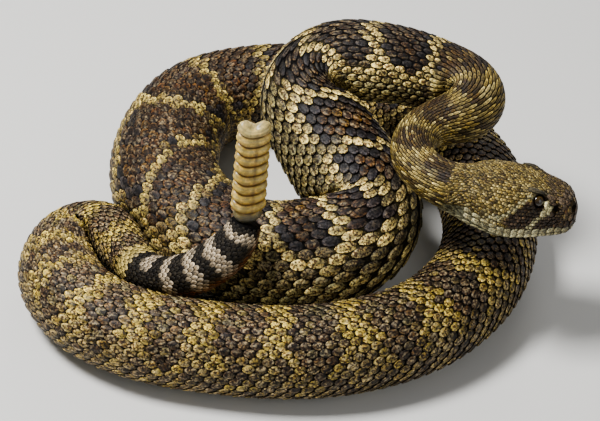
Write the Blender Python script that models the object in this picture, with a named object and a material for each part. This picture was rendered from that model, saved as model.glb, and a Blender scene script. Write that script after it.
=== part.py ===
"""A western diamondback rattlesnake at life size, coiled on the floor, neck in an S and rattle raised.

It is a still figure of the whole animal. One route runs from the end of the tail to the tip of the
snout. It is a short list of waypoints in millimetres, each with the half width of the body there, and
every length of the body is a tube drawn along its own stretch of that route. The mouth is closed, and
the body's scales are a surface finish, so the tubes are smooth.
"""

import bmesh
import bpy
import numpy as np
from mathutils import Matrix, Vector

# Sizes in metres unless a name ends in MM.
MM = 0.001
JOIN_GAP = 0.0003

# The body's tube. A ring is an oval a little wider than deep, and rings stand closer at a bend.
WIDTH_SHARE = 1.02
DEPTH_SHARE = 0.96
AROUND = 28
LONGEST_STEP = 0.0085
TURN_PER_RING = 0.42
EASE = 0.005

# On the inner side of a bend the hide is pressed in, from one share of the bend's radius up to another.
CREASE_START = 0.5
CREASE_END = 0.86

# Lengths that lie against each other share a flat. A point is compared with the route beyond this
# many half widths from its own place.
PRESS_GAP = 0.0006
FREE_RUN = 1.5

# The middle of the coil's footprint in the route's own millimetres.
CENTRE_X_MM = -3.8
CENTRE_Y_MM = 11.75

# The route in millimetres, tail to snout. Each row is X, Y, height of the centre, half width.
ROUTE_MM = {
    "tail": [
        (-20.6, -44.5, 56.7, 6.2),
        (-21.7, -45.7, 53, 7.2),
        (-24.5, -47.3, 48.5, 8.3),
        (-31, -48.5, 41.8, 9.1),
        (-40.5, -48.3, 34.3, 9.3),
        (-51, -44.2, 27.3, 8.8),
        (-61.5, -37.5, 23.5, 8.5),
        (-69, -25, 22, 9.2),
    ],
    "hind_turn": [
        (-77.3, -9.5, 20, 12.2),
        (-87, 0, 14.5, 13.6),
        (-95, -2.5, 13, 14.6),
        (-98.5, -15, 14.5, 16),
        (-97.5, -32, 15.5, 17.2),
    ],
    "hind_front": [
        (-85, -51, 16, 18),
        (-63, -65, 16.5, 18.2),
        (-35, -72, 16.5, 18.4),
        (-4, -75, 16.5, 18.6),
        (23.5, -71.5, 17, 18.8),
    ],
    "hind_right": [
        (49.5, -59.5, 17, 19),
        (69.5, -37.5, 17.5, 19.3),
        (79, -9, 17.5, 19.6),
        (77.5, 22.5, 18, 19.8),
        (67, 50, 18, 20),
    ],
    "mid_back": [
        (49.5, 73.5, 18, 20),
        (27.5, 89, 18, 20.2),
        (2.5, 96.5, 18.5, 20.4),
        (-23, 94, 18.8, 21),
    ],
    "mid_left": [
        (-46.5, 81.5, 19.3, 21.8),
        (-57.5, 55, 20, 22.8),
        (-57.5, 23.5, 20.5, 23.6),
        (-44.5, -3, 21, 23.6),
    ],
    "mid_front": [
        (-25, -22, 22.5, 23.2),
        (-2.5, -29, 25.5, 23.4),
        (19, -27, 31, 23.4),
        (28, -13, 37, 22.8),
    ],
    "fore_rise": [
        (20.2, 1.5, 43.5, 22.6),
        (10.8, 15, 51, 21.8),
        (3.2, 28.5, 59, 20.6),
    ],
    "fore_loop": [
        (5.8, 39, 66, 19.2),
        (16, 43, 71, 18.3),
        (29, 40, 73, 17.8),
        (45, 36, 73, 16.8),
    ],
    "neck_bend": [
        (59, 31.5, 71, 15.6),
        (68, 26, 70.5, 14.6),
        (71.5, 16, 70, 13.6),
        (66.5, 8, 69, 12.2),
        (58.5, 5, 68.5, 10.6),
    ],
    "neck": [
        (51, 2, 68, 9.4),
        (45.5, -5, 67.5, 8.8),
        (44, -13.5, 67, 8.8),
        (46, -22, 66.5, 9.1),
        (52, -29, 66, 9.5),
    ],
    "head": [
        (59, -33.5, 65, 10),
        (70, -35.5, 63.5, 13),
        (81.5, -36, 62, 15),
        (95, -37, 60, 13),
        (108, -37.5, 58, 5),
    ],
}

# The head, measured along its own middle line. Each row is the share of its length from nape to snout,
# the half width, the crown's height, the chin's depth and the height of the mouth's line.
HEAD_MM = (
    (0.00, 10.2, 9.6, 9.6, -1.0),
    (0.08, 11.6, 10.0, 10.0, -1.6),
    (0.20, 16.8, 11.0, 10.8, -2.8),
    (0.32, 19.0, 11.4, 11.8, -5.2),
    (0.45, 18.6, 11.2, 12.2, -7.0),
    (0.60, 16.2, 10.6, 11.6, -7.2),
    (0.72, 14.0, 9.9, 10.8, -6.8),
    (0.84, 12.0, 8.8, 9.8, -6.2),
    (0.93, 10.4, 7.4, 8.6, -5.4),
    (1.00, 8.6, 5.4, 7.0, -4.6),
)
HEAD_LEAN_DEG = 12.0
HEAD_RINGS = 46
SNOUT_CROWDING = 0.055
CROWN_DEG = (90, 74, 60, 48, 39, 31, 23, 14, 4)
CHEEK_FALL = (0.4, 0.78, 0.965)
CHEEK_SHARE = (1.0, 0.985, 0.95)
JAW_DEG = (-8, -24, -42, -60, -76, -90)
JAW_POWER = 2 / 2.3
BOXY_MOST = 1.1
BOXY_FROM = 0.1
BOXY_OVER = 0.5
LIP_SHARE = 0.94
MOUTH_DEPTH = 0.0011
MOUTH_CORNER = 0.13
MOUTH_FADE = 0.12
MOUTH_TIP_FADE = 0.02
JAW_IN = 0.01
JAW_UNDER_LIP = 0.06
JAW_DROP = 0.0004
NAPE_BLEND = 0.16
SNOUT_START = 0.88
SNOUT_POWER = 2.6
SNOUT_END = 0.06
SNOUT_HEIGHT_POWER = 0.8
SNOUT_TIP_DOWN = 0.0018
CHEEK_COLUMN = 8.5
CHEEK_COLUMNS = 2.2
MUSCLE = (0.36, 0.13, 0.0007)
CHEEK_DIP = (0.82, 0.07, 0.0008)

# What is raised on the head or cut into it: shares of its length, then distances out from the middle
# line and up from it.
BALL_AROUND = 20
BALL_RINGS = 12
EYE_RADIUS = 0.0026
EYE_AT = 0.631
EYE_OUT = 0.0120
EYE_UP = 0.0064
EYE_RIM = (1.36, 1.26, 0.8)
EYE_RIM_OUT = 0.0006
EYE_LOOK = (0.85, 0.42, 0.30)
BROW_BACK = 0.005
BROW_IN = 0.0009
BROW_TILT = 0.25
BROW_RADII = (0.0024, 0.0040, 0.0009)
PIT_AT = 0.785
PIT_OUT = 0.0121
PIT_UP = 0.0040
PIT_RADII = (0.0012, 0.0010, 0.0022)
PIT_FORWARD = 0.5
NOSTRIL_AT = 0.93
NOSTRIL_OUT = 0.0086
NOSTRIL_UP = 0.0042
NOSTRIL_RADII = (0.0009, 0.0008, 0.0016)
NOSTRIL_FORWARD = 0.3

# The rattle: a stack of loose horny lobes, widest from back to belly.
LOBES = 10
RATTLE_BASE_MM = (-20.4, -44.2, 58.6)
RATTLE_TOP_MM = (-16.9, -36.3, 98.4)
RATTLE_HALF_BROAD = 0.0071
RATTLE_HALF_THIN = 0.0044
RATTLE_THIN_WAY = (0.22, -0.96, 0.0)
LOBE_AROUND = 24
LOBE_HEIGHT = (0, 0.1, 0.28, 0.5, 0.72, 0.9, 1.0)
LOBE_SWELL = (0.80, 0.91, 0.985, 1.0, 0.97, 0.89, 0.78)
LAST_SWELL = (0.80, 0.91, 0.97, 0.96, 0.88, 0.72, 0.48)
LOBE_TAPER = 0.05
FIRST_NARROWER = 0.18
LOBE_PINCH = 0.22
LOBE_PINCH_POWER = 6
LOBE_WAVE = (0.00035, 0.00025)
TIP_NOTCH = 0.0011

MATERIALS = {
    "hide": ((0.20, 0.16, 0.08), 0.6),
    "tail_hide": ((0.30, 0.29, 0.26), 0.6),
    "head_hide": ((0.26, 0.23, 0.11), 0.55),
    "horn": ((0.42, 0.26, 0.09), 0.45),
    "eye": ((0.06, 0.045, 0.02), 0.08),
}


def clear_scene():
    """Takes everything out of the starting scene."""
    for thing in list(bpy.data.objects):
        bpy.data.objects.remove(thing, do_unlink=True)


def unit(rows):
    """Each row made one long."""
    return rows / np.maximum(np.linalg.norm(rows, axis=1), 1e-9)[:, None]


def through(points, per_gap=16):
    """A curve through the rows: on each gap the cubic that leaves and arrives along its neighbours."""
    rows = np.vstack([2 * points[0] - points[1], points, 2 * points[-1] - points[-2]])
    share = np.linspace(0, 1, per_gap, endpoint=False)[:, None]
    curve = []
    for a, b, c, d in zip(rows, rows[1:], rows[2:], rows[3:]):
        line = 2 * b + (c - a) * share
        bend = (2 * a - 5 * b + 4 * c - d) * share**2
        twist = (3 * b - a - 3 * c + d) * share**3
        curve.append(0.5 * (line + bend + twist))
    return np.vstack(curve + [points[-1:]])


def run_of(curve):
    """Distance along a curve at each of its rows."""
    return np.concatenate([[0], np.cumsum(np.linalg.norm(np.diff(curve[:, :3], axis=0), axis=1))])


def at(distance, run, curve):
    """Rows of a curve at the distances given."""
    return np.stack([np.interp(distance, run, column) for column in curve.T], 1)


def eased(curve, step):
    """Each row averaged with those near it, weighted by a bell, so that no bend is sudden."""
    reach = int(3 * EASE / step)
    bell = np.exp(-0.5 * (np.arange(-reach, reach + 1) * step / EASE) ** 2)
    before = curve[0] + np.arange(-reach, 0)[:, None] * (curve[1] - curve[0])
    after = curve[-1] + np.arange(1, reach + 1)[:, None] * (curve[-1] - curve[-2])
    padded = np.vstack([before, curve, after])
    return np.stack([np.convolve(column, bell / bell.sum(), "valid") for column in padded.T], 1)


def make_route():
    """The whole route at 1 mm steps, with its directions, and the distance at which each stretch starts."""
    rows = np.array([row for stretch in ROUTE_MM.values() for row in stretch], float)
    rows[:, 0] -= CENTRE_X_MM
    rows[:, 1] -= CENTRE_Y_MM
    raw = through(rows * MM)
    run = run_of(raw)
    count = int(round(run[-1] / 0.001)) + 1
    even = np.linspace(0, run[-1], count)
    curve = eased(at(even, run, raw), even[1])
    run = run_of(curve)
    ahead = unit(np.gradient(curve[:, :3], run, axis=0))
    turn = np.gradient(ahead, run, axis=0)
    starts = {}
    first = 0
    for name, stretch in ROUTE_MM.items():
        where = np.linalg.norm(curve[:, :3] - rows[first, :3] * MM, axis=1)
        starts[name] = run[where.argmin()]
        first += len(stretch)
    return {"run": run, "curve": curve, "ahead": ahead, "turn": turn, "starts": starts}


def frames(route, distance):
    """Centre, half width, the ahead, side and top directions, and the turn, at distances on the route."""
    run = route["run"]
    rows = at(distance, run, route["curve"])
    ahead = unit(at(distance, run, route["ahead"]))
    turn = at(distance, run, route["turn"])
    turn -= (turn * ahead).sum(1)[:, None] * ahead
    top = unit(np.array([0.0, 0.0, 1.0]) - ahead[:, 2:] * ahead)
    side = np.cross(ahead, top)
    reach = np.clip((distance - route["starts"]["neck"]) / 0.03, 0, 1)
    lean = np.radians(HEAD_LEAN_DEG) * reach**2 * (3 - 2 * reach)
    top, side = (
        top * np.cos(lean)[:, None] - side * np.sin(lean)[:, None],
        side * np.cos(lean)[:, None] + top * np.sin(lean)[:, None],
    )
    return rows[:, :3], rows[:, 3], ahead, side, top, turn


def crease(offset, turn):
    """Offsets with the inner side of each bend pressed in, so that the tube never crosses itself."""
    bend = np.linalg.norm(turn, axis=1)
    inward = turn / np.maximum(bend, 1e-6)[:, None]
    along = (offset * inward[:, None, :]).sum(2)
    limit = CREASE_END / np.maximum(bend, 1e-3)[:, None]
    start = CREASE_START * limit
    pressed = start + (limit - start) * np.tanh((along - start) / (limit - start))
    change = np.where(along > start, pressed - along, 0)
    return offset + change[:, :, None] * inward[:, None, :]


def own_side(offset, centre, half, distance, route):
    """Offsets shortened where they would reach past the middle between their own length and another one.

    Two lengths that press on each other then share a flat, with a gap of one joint between them.
    """
    run = route["run"][::2]
    curve = route["curve"][::2]
    far = np.abs(distance[:, None] - run[None, :]) > FREE_RUN * half[:, None]
    share = np.ones(offset.shape[:2])
    step = 0.5
    for _ in range(9):
        point = centre[:, None, :] + share[:, :, None] * offset
        own = np.linalg.norm(point - centre[:, None, :], axis=2)
        gap = np.linalg.norm(point[:, :, None, :] - curve[None, None, :, :3], axis=3)
        gap = gap * (half[:, None] / curve[None, :, 3])[:, None, :]
        gap = np.where(far[:, None, :], gap, 1.0).min(axis=2)
        crossed = own + PRESS_GAP > gap
        share = np.where(crossed, share - step, np.minimum(share + step, 1))
        step = step / 2
    return offset * np.where(crossed, share - step, share)[:, :, None]


def spread_stations(route, first, last):
    """Distances for the rings of one length, closer together where the route bends."""
    fine = np.linspace(first, last, 400)
    bend = np.linalg.norm(at(fine, route["run"], route["turn"]), axis=1)
    density = np.maximum(1 / LONGEST_STEP, bend / TURN_PER_RING)
    total = np.concatenate([[0], np.cumsum((density[1:] + density[:-1]) / 2 * np.diff(fine))])
    count = int(np.ceil(total[-1])) + 1
    return np.interp(np.linspace(0, total[-1], count), total, fine)


def finish_node(thing, name, kind):
    """Gives a node its own plain Principled material and hangs it on the animal's empty."""
    colour, rough = MATERIALS[kind]
    material = bpy.data.materials.new(name)
    material.use_nodes = True
    shader = material.node_tree.nodes["Principled BSDF"]
    shader.inputs["Base Color"].default_value = (*colour, 1)
    shader.inputs["Roughness"].default_value = rough
    material.diffuse_color = (*colour, 1)
    thing.data.materials.append(material)
    thing.parent = stand


def solid_from_rings(name, rings, kind):
    """One closed node from rings of equal size, ends filled by fans, placed at its first ring's middle."""
    count, around = rings.shape[:2]
    place = rings[0].mean(0)
    points = np.vstack([rings.reshape(-1, 3), place, rings[-1].mean(0)]) - place
    start, end = count * around, count * around + 1
    grid = np.arange(count * around).reshape(count, around)
    beside = np.roll(grid, -1, axis=1)
    faces = np.stack([grid[:-1], beside[:-1], beside[1:], grid[1:]], -1).reshape(-1, 4).tolist()
    faces += [(start, int(b), int(a)) for a, b in zip(grid[0], beside[0])]
    faces += [(end, int(a), int(b)) for a, b in zip(grid[-1], beside[-1])]
    mesh = bpy.data.meshes.new(name)
    mesh.from_pydata(points.tolist(), [], faces)
    mesh.shade_smooth()
    thing = bpy.data.objects.new(name, mesh)
    thing.location = place
    animal.objects.link(thing)
    finish_node(thing, name, kind)
    return thing


def make_length(route, name, first, last):
    """One length of the body: oval rings across the route, flat where they meet the floor."""
    distance = spread_stations(route, first, last)
    centre, half, ahead, side, top, turn = frames(route, distance)
    angle = np.linspace(0, 2 * np.pi, AROUND, endpoint=False)
    across = half[:, None] * WIDTH_SHARE * np.cos(angle)
    upward = half[:, None] * DEPTH_SHARE * np.sin(angle)
    offset = across[:, :, None] * side[:, None, :] + upward[:, :, None] * top[:, None, :]
    offset = own_side(crease(offset, turn), centre, half, distance, route)
    rings = centre[:, None, :] + offset
    rings[:, :, 2] = np.maximum(rings[:, :, 2], 0)
    kind = "tail_hide" if name == "tail" else "hide"
    solid_from_rings(name, rings[:, ::-1], kind)


def bell(share, middle, width, height):
    """A smooth rise of one height about one share of the head's length."""
    return height * np.exp(-(((share - middle) / width) ** 2))


def head_half(share):
    """Across and up for half a ring of the head, from the middle of the crown to the middle of the chin.

    It goes over the brow and cheek to the upper lip, steps in at the line of the mouth, comes out again at
    the lower lip and goes under the jaw. The mouth's line fades at the corner of the jaw and at the tip.
    """
    table = np.array(HEAD_MM).T
    half, crown, chin, lip = [np.interp(share, table[0], column)[:, None] * MM for column in table[1:]]
    boxy = 2 / (2 + BOXY_MOST * np.clip((share - BOXY_FROM) / BOXY_OVER, 0, 1)[:, None])
    crown_angle = np.radians(CROWN_DEG)
    jaw_angle = np.radians(JAW_DEG)
    opening = np.clip((share - MOUTH_CORNER) / MOUTH_FADE, 0, 1)
    opening = opening * np.clip((1 - share) / MOUTH_TIP_FADE, 0, 1)
    groove = half * LIP_SHARE - MOUTH_DEPTH * opening[:, None]
    jaw = half * (LIP_SHARE - JAW_IN - JAW_UNDER_LIP * opening[:, None])
    across = np.hstack([
        half * np.cos(crown_angle) ** boxy,
        half * np.array(CHEEK_SHARE),
        groove,
        jaw * np.cos(jaw_angle) ** JAW_POWER,
    ])
    upward = np.hstack([
        crown * np.sin(crown_angle) ** boxy,
        lip * np.array(CHEEK_FALL),
        lip,
        lip - JAW_DROP - (chin + lip) * np.abs(np.sin(jaw_angle)) ** JAW_POWER,
    ])
    return across, upward


def head_rings(route, first, length):
    """Rings of the head from the nape, where it has the neck's plain oval, to the blunt round snout."""
    share = np.linspace(0, 1, HEAD_RINGS)
    share = share + SNOUT_CROWDING * np.sin(np.pi * share) ** 2 * share
    centre, neck, _, side, top, _ = frames(route, first + share * length)
    across, upward = head_half(share)
    count = across.shape[1]
    oval = np.linspace(np.pi / 2, -np.pi / 2, count)
    blend = np.clip(share / NAPE_BLEND, 0, 1)[:, None]
    blend = blend**2 * (3 - 2 * blend)
    across = across * blend + neck[:, None] * WIDTH_SHARE * np.cos(oval) * (1 - blend)
    upward = upward * blend + neck[:, None] * DEPTH_SHARE * np.sin(oval) * (1 - blend)
    closing = np.clip((share - SNOUT_START) / (1 - SNOUT_START), 0, 1)
    shrink = np.maximum((1 - closing**SNOUT_POWER) ** (1 / SNOUT_POWER), SNOUT_END)[:, None]
    cheek = np.exp(-(((np.arange(count) - CHEEK_COLUMN) / CHEEK_COLUMNS) ** 2))
    swell = bell(share, *MUSCLE) - bell(share, *CHEEK_DIP)
    across = across * shrink + swell[:, None] * cheek
    upward = (upward + SNOUT_TIP_DOWN) * shrink**SNOUT_HEIGHT_POWER - SNOUT_TIP_DOWN
    across = np.hstack([across, -across[:, -2:0:-1]])
    upward = np.hstack([upward, upward[:, -2:0:-1]])
    return centre[:, None, :] + across[:, :, None] * side[:, None, :] + upward[:, :, None] * top[:, None, :]


def ball(name, spot, radii, outward, upright, group):
    """An egg with its own three radii: across, along upright and outward."""
    mesh = bpy.data.meshes.new(name)
    shape = bmesh.new()
    bmesh.ops.create_uvsphere(shape, u_segments=BALL_AROUND, v_segments=BALL_RINGS, radius=1)
    bmesh.ops.scale(shape, vec=radii, verts=shape.verts)
    shape.to_mesh(mesh)
    shape.free()
    mesh.shade_smooth()
    out = Vector(outward).normalized()
    across = Vector(upright).cross(out).normalized()
    thing = bpy.data.objects.new(name, mesh)
    thing.matrix_world = Matrix((across, out.cross(across), out)).transposed().to_4x4()
    thing.location = spot
    group.objects.link(thing)
    return thing


def shape_with(base, name, spot, radii, outward, upright, operation):
    """Adds an egg to a solid, or cuts it out, with a hidden shape that stays beside it."""
    tool = ball(name, spot, radii, outward, upright, cutters)
    tool.hide_render = True
    tool.display_type = "WIRE"
    change = base.modifiers.new(name, "BOOLEAN")
    change.operation = operation
    change.solver = "MANIFOLD"
    change.object = tool


def make_head(route):
    """The head with its raised brows and eye rims, its sockets, heat pits and nostrils, and the eyes."""
    first = route["starts"]["head"] + JOIN_GAP / 2
    length = route["run"][-1] - first
    head = solid_from_rings("head", head_rings(route, first, length), "head_hide")

    def place(share, out, up):
        centre, _, ahead, side, top, _ = frames(route, np.array([first + share * length]))
        return centre[0] + out * side[0] + up * top[0], ahead[0], side[0], top[0]

    for hand, sign in (("right", 1), ("left", -1)):
        eye, ahead, side, top = place(EYE_AT, sign * EYE_OUT, EYE_UP)
        look = sign * side * EYE_LOOK[0] + top * EYE_LOOK[1] + ahead * EYE_LOOK[2]
        rim = [EYE_RADIUS * share for share in EYE_RIM]
        shape_with(head, f"rim_{hand}", eye + look * EYE_RIM_OUT, rim, look, top, "UNION")
        brow, *_ = place(EYE_AT - BROW_BACK, sign * (EYE_OUT - BROW_IN), EYE_UP + EYE_RADIUS)
        lid = top - sign * side * BROW_TILT
        shape_with(head, f"brow_{hand}", brow, BROW_RADII, lid, ahead, "UNION")
        socket = (EYE_RADIUS + JOIN_GAP,) * 3
        shape_with(head, f"socket_{hand}", eye, socket, look, top, "DIFFERENCE")
        pit, *_ = place(PIT_AT, sign * PIT_OUT, PIT_UP)
        aim = sign * side + PIT_FORWARD * ahead
        shape_with(head, f"pit_{hand}", pit, PIT_RADII, aim, top, "DIFFERENCE")
        nose, *_ = place(NOSTRIL_AT, sign * NOSTRIL_OUT, NOSTRIL_UP)
        aim = sign * side + NOSTRIL_FORWARD * ahead
        shape_with(head, f"nostril_{hand}", nose, NOSTRIL_RADII, aim, top, "DIFFERENCE")
        name = f"eye_{hand}"
        eyeball = ball(name, eye, (EYE_RADIUS,) * 3, look, top, animal)
        finish_node(eyeball, name, "eye")


def make_rattle():
    """The stack of lobes, each a flat oval button with a rounded, wavy rim, pinched across its faces."""
    middle = np.array([CENTRE_X_MM, CENTRE_Y_MM, 0])
    base = (np.array(RATTLE_BASE_MM) - middle) * MM
    tip = (np.array(RATTLE_TOP_MM) - middle) * MM
    pitch = np.linalg.norm(tip - base) / LOBES
    axis = (tip - base) / np.linalg.norm(tip - base)
    thin = np.array(RATTLE_THIN_WAY)
    thin -= axis * thin.dot(axis)
    thin /= np.linalg.norm(thin)
    broad = np.cross(axis, thin)
    angle = np.linspace(0, 2 * np.pi, LOBE_AROUND, endpoint=False)
    pinch = 1 - LOBE_PINCH * np.abs(np.sin(angle)) ** LOBE_PINCH_POWER
    height = np.array(LOBE_HEIGHT)[:, None]
    wave = LOBE_WAVE[0] * np.cos(2 * angle) + LOBE_WAVE[1] * np.sin(2 * angle)
    notch = TIP_NOTCH * height * (np.cos(angle) ** 2 - 0.5)
    for number in range(LOBES):
        last = number == LOBES - 1
        swell = np.array(LAST_SWELL if last else LOBE_SWELL)[:, None]
        size = 1 - LOBE_TAPER * number / (LOBES - 1) - (FIRST_NARROWER if number == 0 else 0)
        out_broad = RATTLE_HALF_BROAD * size * swell * np.cos(angle)
        out_thin = RATTLE_HALF_THIN * size * swell * np.sin(angle) * pinch
        rise = number * pitch + JOIN_GAP / 2 + height * (pitch - JOIN_GAP) + wave
        if last:
            rise = rise + notch
        rings = base + rise[:, :, None] * axis
        rings = rings + out_broad[:, :, None] * broad + out_thin[:, :, None] * thin
        solid_from_rings(f"rattle_lobe_{number + 1}", rings[:, ::-1], "horn")


clear_scene()
animal = bpy.data.collections.new("rattlesnake")
cutters = bpy.data.collections.new("cutters")
bpy.context.scene.collection.children.link(animal)
bpy.context.scene.collection.children.link(cutters)
stand = bpy.data.objects.new("rattlesnake", None)
animal.objects.link(stand)
route = make_route()
names = list(ROUTE_MM)
for name, following in zip(names[:-1], names[1:]):
    first = route["starts"][name] + (JOIN_GAP / 2 if name != "tail" else 0)
    make_length(route, name, first, route["starts"][following] - JOIN_GAP / 2)
make_head(route)
make_rattle()
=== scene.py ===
"""A western diamondback rattlesnake at life size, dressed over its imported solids.

One hide runs from the end of the tail to the snout. The body's keeled scales, the belly's scutes, the
shields of the head, the eyes and the rattle are set on it, each in the section that makes it.
"""

import bpy
import numpy as np
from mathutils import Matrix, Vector


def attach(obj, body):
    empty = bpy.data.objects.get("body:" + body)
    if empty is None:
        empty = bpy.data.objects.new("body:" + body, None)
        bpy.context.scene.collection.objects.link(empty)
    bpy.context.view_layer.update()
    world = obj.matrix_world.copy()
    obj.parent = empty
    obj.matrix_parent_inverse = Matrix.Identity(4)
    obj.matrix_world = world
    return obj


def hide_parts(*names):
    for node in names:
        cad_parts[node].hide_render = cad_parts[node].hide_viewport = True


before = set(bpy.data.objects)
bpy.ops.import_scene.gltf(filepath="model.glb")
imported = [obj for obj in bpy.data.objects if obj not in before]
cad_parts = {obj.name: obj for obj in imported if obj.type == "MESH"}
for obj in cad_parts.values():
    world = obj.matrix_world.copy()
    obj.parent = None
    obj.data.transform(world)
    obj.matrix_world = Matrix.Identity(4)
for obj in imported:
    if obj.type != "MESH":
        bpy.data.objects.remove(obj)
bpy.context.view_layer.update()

# The animal is seen from in front and above through a long lens, from three quarters of a metre away. A
# wide lamp stands high on the left, weaker ones on the right and behind, and the room is pale.
SEEN_AT = Vector((0.0038, -0.01175, 0.0253))
SEEN_FROM = 0.75
SEEN_DOWN = np.radians(40)
scene = bpy.context.scene
lens = bpy.data.cameras.new("camera")
lens.lens = 108
lens.sensor_width = 36
lens.clip_start = 0.02
camera = bpy.data.objects.new("camera", lens)
camera.location = SEEN_AT + SEEN_FROM * Vector((0, -np.cos(SEEN_DOWN), np.sin(SEEN_DOWN)))
camera.rotation_euler = (np.pi / 2 - SEEN_DOWN, 0, 0)
scene.collection.objects.link(camera)
scene.camera = camera


def lamp(name, place, watts, size):
    """A square lamp at a place in metres, turned to the middle of the coil."""
    light = bpy.data.lights.new(name, "AREA")
    light.energy = watts
    light.size = size
    stand = bpy.data.objects.new(name, light)
    stand.location = place
    stand.rotation_euler = (SEEN_AT - Vector(place)).to_track_quat("-Z", "Y").to_euler()
    scene.collection.objects.link(stand)


lamp("key_lamp", (-0.38, -0.02, 0.86), 19.0, 0.26)
lamp("fill_lamp", (0.7, -0.6, 0.5), 2.4, 0.7)
lamp("back_lamp", (0.25, 0.9, 0.6), 3.0, 0.6)
room = bpy.data.worlds.new("room")
room.use_nodes = True
room.node_tree.nodes["Background"].inputs["Color"].default_value = (0.95, 0.97, 1.0, 1)
room.node_tree.nodes["Background"].inputs["Strength"].default_value = 0.24
scene.world = room

# The floor is a plain pale sheet, wide enough to fill every view, with its own even paint.
FLOOR_HALF = 2.5
floor_mesh = bpy.data.meshes.new("floor")
corners = [(x * FLOOR_HALF, y * FLOOR_HALF, 0.0) for x, y in ((-1, -1), (1, -1), (1, 1), (-1, 1))]
floor_mesh.from_pydata(corners, [], [(0, 1, 2, 3)])
floor = bpy.data.objects.new("floor", floor_mesh)
scene.collection.objects.link(floor)
floor_paint = bpy.data.materials.new("pale_floor")
floor_paint.use_nodes = True
floor_paint.node_tree.nodes["Principled BSDF"].inputs["Base Color"].default_value = (0.62, 0.61, 0.58, 1)
floor_paint.node_tree.nodes["Principled BSDF"].inputs["Roughness"].default_value = 0.8
floor_mesh.materials.append(floor_paint)

# The body is one tube along one line, from the end of the tail to the tip of the snout. The line is a list
# of waypoints in millimetres: X, Y, height of the centre, half width.
ROUTE_MM = {
    "tail": [
        (-20.6, -44.5, 56.7, 6.2),
        (-21.7, -45.7, 53, 7.2),
        (-24.5, -47.3, 48.5, 8.3),
        (-31, -48.5, 41.8, 9.1),
        (-40.5, -48.3, 34.3, 9.3),
        (-51, -44.2, 27.3, 8.8),
        (-61.5, -37.5, 23.5, 8.5),
        (-69, -25, 22, 9.2),
    ],
    "hind_turn": [
        (-77.3, -9.5, 20, 12.2),
        (-87, 0, 14.5, 13.6),
        (-95, -2.5, 13, 14.6),
        (-98.5, -15, 14.5, 16),
        (-97.5, -32, 15.5, 17.2),
    ],
    "hind_front": [
        (-85, -51, 16, 18),
        (-63, -65, 16.5, 18.2),
        (-35, -72, 16.5, 18.4),
        (-4, -75, 16.5, 18.6),
        (23.5, -71.5, 17, 18.8),
    ],
    "hind_right": [
        (49.5, -59.5, 17, 19),
        (69.5, -37.5, 17.5, 19.3),
        (79, -9, 17.5, 19.6),
        (77.5, 22.5, 18, 19.8),
        (67, 50, 18, 20),
    ],
    "mid_back": [
        (49.5, 73.5, 18, 20),
        (27.5, 89, 18, 20.2),
        (2.5, 96.5, 18.5, 20.4),
        (-23, 94, 18.8, 21),
    ],
    "mid_left": [
        (-46.5, 81.5, 19.3, 21.8),
        (-57.5, 55, 20, 22.8),
        (-57.5, 23.5, 20.5, 23.6),
        (-44.5, -3, 21, 23.6),
    ],
    "mid_front": [
        (-25, -22, 22.5, 23.2),
        (-2.5, -29, 25.5, 23.4),
        (19, -27, 31, 23.4),
        (28, -13, 37, 22.8),
    ],
    "fore_rise": [
        (20.2, 1.5, 43.5, 22.6),
        (10.8, 15, 51, 21.8),
        (3.2, 28.5, 59, 20.6),
    ],
    "fore_loop": [
        (5.8, 39, 66, 19.2),
        (16, 43, 71, 18.3),
        (29, 40, 73, 17.8),
        (45, 36, 73, 16.8),
    ],
    "neck_bend": [
        (59, 31.5, 71, 15.6),
        (68, 26, 70.5, 14.6),
        (71.5, 16, 70, 13.6),
        (66.5, 8, 69, 12.2),
        (58.5, 5, 68.5, 10.6),
    ],
    "neck": [
        (51, 2, 68, 9.4),
        (45.5, -5, 67.5, 8.8),
        (44, -13.5, 67, 8.8),
        (46, -22, 66.5, 9.1),
        (52, -29, 66, 9.5),
    ],
    "head": [
        (59, -33.5, 65, 10),
        (70, -35.5, 63.5, 13),
        (81.5, -36, 62, 15),
        (95, -37, 60, 13),
        (108, -37.5, 58, 5),
    ],
}
CENTRE_X_MM = -3.8
CENTRE_Y_MM = 11.75
MM = 0.001
EASE = 0.005
HEAD_LEAN = np.radians(12)
LEAN_OVER = 0.03


def unit(rows):
    """Rows of vectors, each made one long."""
    return rows / np.maximum(np.linalg.norm(rows, axis=-1), 1e-9)[..., None]


def cubic(a, b, c, d, share):
    """The curve from b to c, leaving along the line from a to c and arriving along that from b to d."""
    line = 2 * b + (c - a) * share
    bend = (2 * a - 5 * b + 4 * c - d) * share**2
    twist = (3 * b - a - 3 * c + d) * share**3
    return 0.5 * (line + bend + twist)


def through(points, per_gap=16):
    """A curve through the rows, each gap a cubic between its neighbours."""
    rows = np.vstack([2 * points[0] - points[1], points, 2 * points[-1] - points[-2]])
    share = np.linspace(0, 1, per_gap, endpoint=False)[:, None]
    curve = [cubic(*ends, share) for ends in zip(rows, rows[1:], rows[2:], rows[3:])]
    return np.vstack(curve + [points[-1:]])


def run_of(curve):
    """Distance along a curve at each of its rows."""
    return np.concatenate([[0], np.cumsum(np.linalg.norm(np.diff(curve[:, :3], axis=0), axis=1))])


def at(distance, run, curve):
    """Rows of a curve at the distances given."""
    return np.stack([np.interp(distance, run, column) for column in curve.T], 1)


def eased(curve, step):
    """Each row averaged with those near it, weighted by a bell, so that no bend is sudden."""
    reach = int(3 * EASE / step)
    weight = np.exp(-0.5 * (np.arange(-reach, reach + 1) * step / EASE) ** 2)
    before = curve[0] + np.arange(-reach, 0)[:, None] * (curve[1] - curve[0])
    after = curve[-1] + np.arange(1, reach + 1)[:, None] * (curve[-1] - curve[-2])
    padded = np.vstack([before, curve, after])
    return np.stack([np.convolve(column, weight / weight.sum(), "valid") for column in padded.T], 1)


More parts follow.
